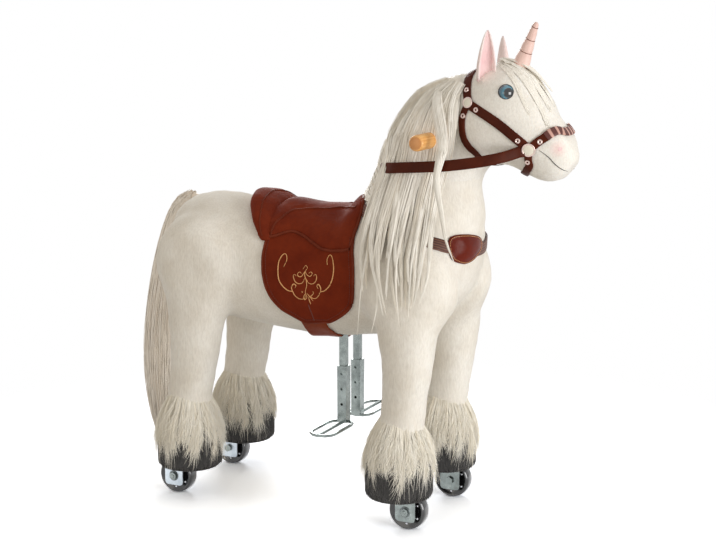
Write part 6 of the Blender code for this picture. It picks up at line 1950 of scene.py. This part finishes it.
def beech_material():
    """Straight grain along the dowel and rings on its ends."""
    made, tree, shader = new_material("beech_wood")
    split = add(tree, "ShaderNodeSeparateXYZ")
    tree.links.new(add(tree, "ShaderNodeNewGeometry").outputs["Normal"], split.inputs[0])
    grain = noise(tree, 4.0, 5.0, 0.6, (120.0, 5.0, 120.0))
    broad = noise(tree, 30.0, 3.0, 0.5)
    side_colour = ramp(tree, grain, [(0.30, linear(214, 146, 74)), (0.55, linear(236, 176, 100)),
                                     (0.72, linear(244, 192, 120))])
    end_colour = ramp(tree, broad, [(0.30, linear(176, 108, 50)), (0.70, linear(212, 146, 82))])
    is_end = maths(tree, "GREATER_THAN", maths(tree, "ABSOLUTE", split.outputs[1]), 0.85)
    link(tree, blend_colours(tree, is_end, side_colour, end_colour), shader, "Base Color")
    set_inputs(shader, {"Roughness": 0.42, "Coat Weight": 0.25, "Coat Roughness": 0.25})
    bump(tree, shader, grain, 0.25, 0.0004)
    return made


dowel_centre, (_, dowel_half, dowel_radius) = middle_of("handle_dowel")
dowel_end = [(0.0, dowel_half), (dowel_radius * 0.60, dowel_half - 0.0004),
             (dowel_radius * 0.84, dowel_half - 0.0018), (dowel_radius * 0.96, dowel_half - 0.0042),
             (dowel_radius, dowel_half - 0.0075)]
dowel_section = dowel_end + [(dowel_radius, 0.0)] + [(r, -h) for r, h in dowel_end[::-1]]
attach(dress(turned("handle_grip", dowel_section, dowel_centre, (0.0, 1.0, 0.0)), beech_material()),
       "neck", "beech_wood", "handle_dowel")


# Metal and wood of the mechanism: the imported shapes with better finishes

PAINT_FOOT_Z = 0.092


def split_finish():
    """Zinc at the wheels and black paint above, as on the leg frames."""
    made, tree, shader = new_material("frame_zinc_and_paint")
    parts = add(tree, "ShaderNodeSeparateXYZ")
    tree.links.new(object_place(tree), parts.inputs[0])
    above = maths(tree, "GREATER_THAN", parts.outputs[2], PAINT_FOOT_Z)
    drift = noise(tree, 45.0, 4.0, 0.6)
    low_colour = ramp(tree, drift, [(0.30, linear(180, 190, 199)), (0.70, linear(208, 216, 222))])
    link(tree, blend_colours(tree, above, low_colour, linear(44, 44, 46)), shader, "Base Color")
    link(tree, maths(tree, "SUBTRACT", 1.0, above), shader, "Metallic")
    shader.inputs["Roughness"].default_value = 0.36
    bump(tree, shader, drift, 0.25, 0.0002)
    return made


def finish_nodes(finish, *names):
    for name in names:
        for place in bpy.data.objects[name].material_slots:
            place.link = "OBJECT"
            place.material = finish


finish_nodes(split_finish(), "rear_leg_frame", "front_leg_frame")
for side, _ in SIDES:
    finish_nodes(zinc, "front_fork_" + side, "front_axle_" + side, "rear_axle_" + side,
                 "footrest_post_" + side, "footrest_" + side)
finish_nodes(zinc, "tie_bar", "sync_rod")
finish_nodes(frame_paint, "chassis_frame", "steering_column")
finish_nodes(steel, "front_spring", "rear_spring")
finish_nodes(plywood, "seat_board")


# Stage, light and camera

def seen_directly(tree):
    """1 for rays from the camera, also by a mirror or through glass, and 0 for diffuse light."""
    rays = add(tree, "ShaderNodeLightPath")
    return maths(tree, "MAXIMUM", rays.outputs["Is Camera Ray"],
                 maths(tree, "MAXIMUM", rays.outputs["Is Glossy Ray"], rays.outputs["Is Transmission Ray"]))


FLOOR_RADIUS = 1.25
FADE_START, FADE_END = 0.55, 1.15


def backdrop_shade():
    """White to the eye and greyer to the light that it throws back, fading out at the rim."""
    made, tree, shader = new_material("floor_pale")
    link(tree, blend_colours(tree, seen_directly(tree), (0.50, 0.50, 0.50, 1.0), (1.9, 1.98, 2.12, 1.0)),
         shader, "Base Color")
    set_inputs(shader, {"Roughness": 0.9, "Specular IOR Level": 0.0})
    fade = add(tree, "ShaderNodeMapRange", interpolation_type="SMOOTHSTEP")
    set_inputs(fade, {"From Min": FADE_START, "From Max": FADE_END})
    link(tree, vector_maths(tree, "LENGTH", object_place(tree), output="Value"), fade, "Value")
    blend = add(tree, "ShaderNodeMixShader")
    fill_slots(tree, blend.inputs, (fade.outputs["Result"], shader.outputs["BSDF"],
                                    add(tree, "ShaderNodeBsdfTransparent").outputs["BSDF"]))
    link(tree, blend.outputs["Shader"], tree.nodes["Material Output"], "Surface")
    return made


bpy.ops.mesh.primitive_circle_add(vertices=96, radius=FLOOR_RADIUS, fill_type="NGON",
                                  location=(0.0, 0.0, -0.0003))
floor = bpy.context.object
floor.name = "floor"
floor.data.materials.append(backdrop_shade())

world = bpy.data.worlds.new("studio")
bpy.context.scene.world = world
world.use_nodes = True
sky_tree = world.node_tree
sky_colour = blend_colours(sky_tree, seen_directly(sky_tree), (0.45, 0.42, 0.375, 1.0), (1.0, 1.0, 1.0, 1.0))
link(sky_tree, sky_colour, sky_tree.nodes["Background"], "Color")


def soft_light(name, place, aim, size, power, colour=(1.0, 1.0, 1.0)):
    data = bpy.data.lights.new(name, "AREA")
    data.shape = "RECTANGLE"
    data.size, data.size_y = size
    data.energy = power
    data.color = colour
    made = add_object(name, data)
    made.location = place
    made.rotation_euler = (Vector(aim) - Vector(place)).to_track_quat("-Z", "Y").to_euler()
    return made


lamps = [
    soft_light("top_light", (0.3, -0.1, 2.7), (0.0, 0.0, 0.4), (2.4, 2.0), 7.0),
    soft_light("key_light", (2.7, -0.7, 0.60), (0.1, 0.0, 0.38), (1.5, 1.3), 45.0),
    soft_light("rim_light", (-1.5, 2.5, 1.5), (-0.1, 0.0, 0.5), (1.4, 1.4), 42.0),
    soft_light("near_fill", (-0.5, -2.9, 0.8), (0.0, 0.0, 0.38), (2.0, 1.6), 10.0, (1.0, 0.93, 0.82)),
]

lens = bpy.data.cameras.new("camera")
lens.lens = 80.4
lens.sensor_width = 36.0
lens.clip_start = 0.05
lens.clip_end = 50.0
camera = add_object("camera", lens)
camera.location = CAMERA_PLACE
camera.rotation_euler = view_ahead.to_track_quat("-Z", "Y").to_euler()
bpy.context.scene.camera = camera
bpy.context.scene.view_settings.view_transform = "Standard"
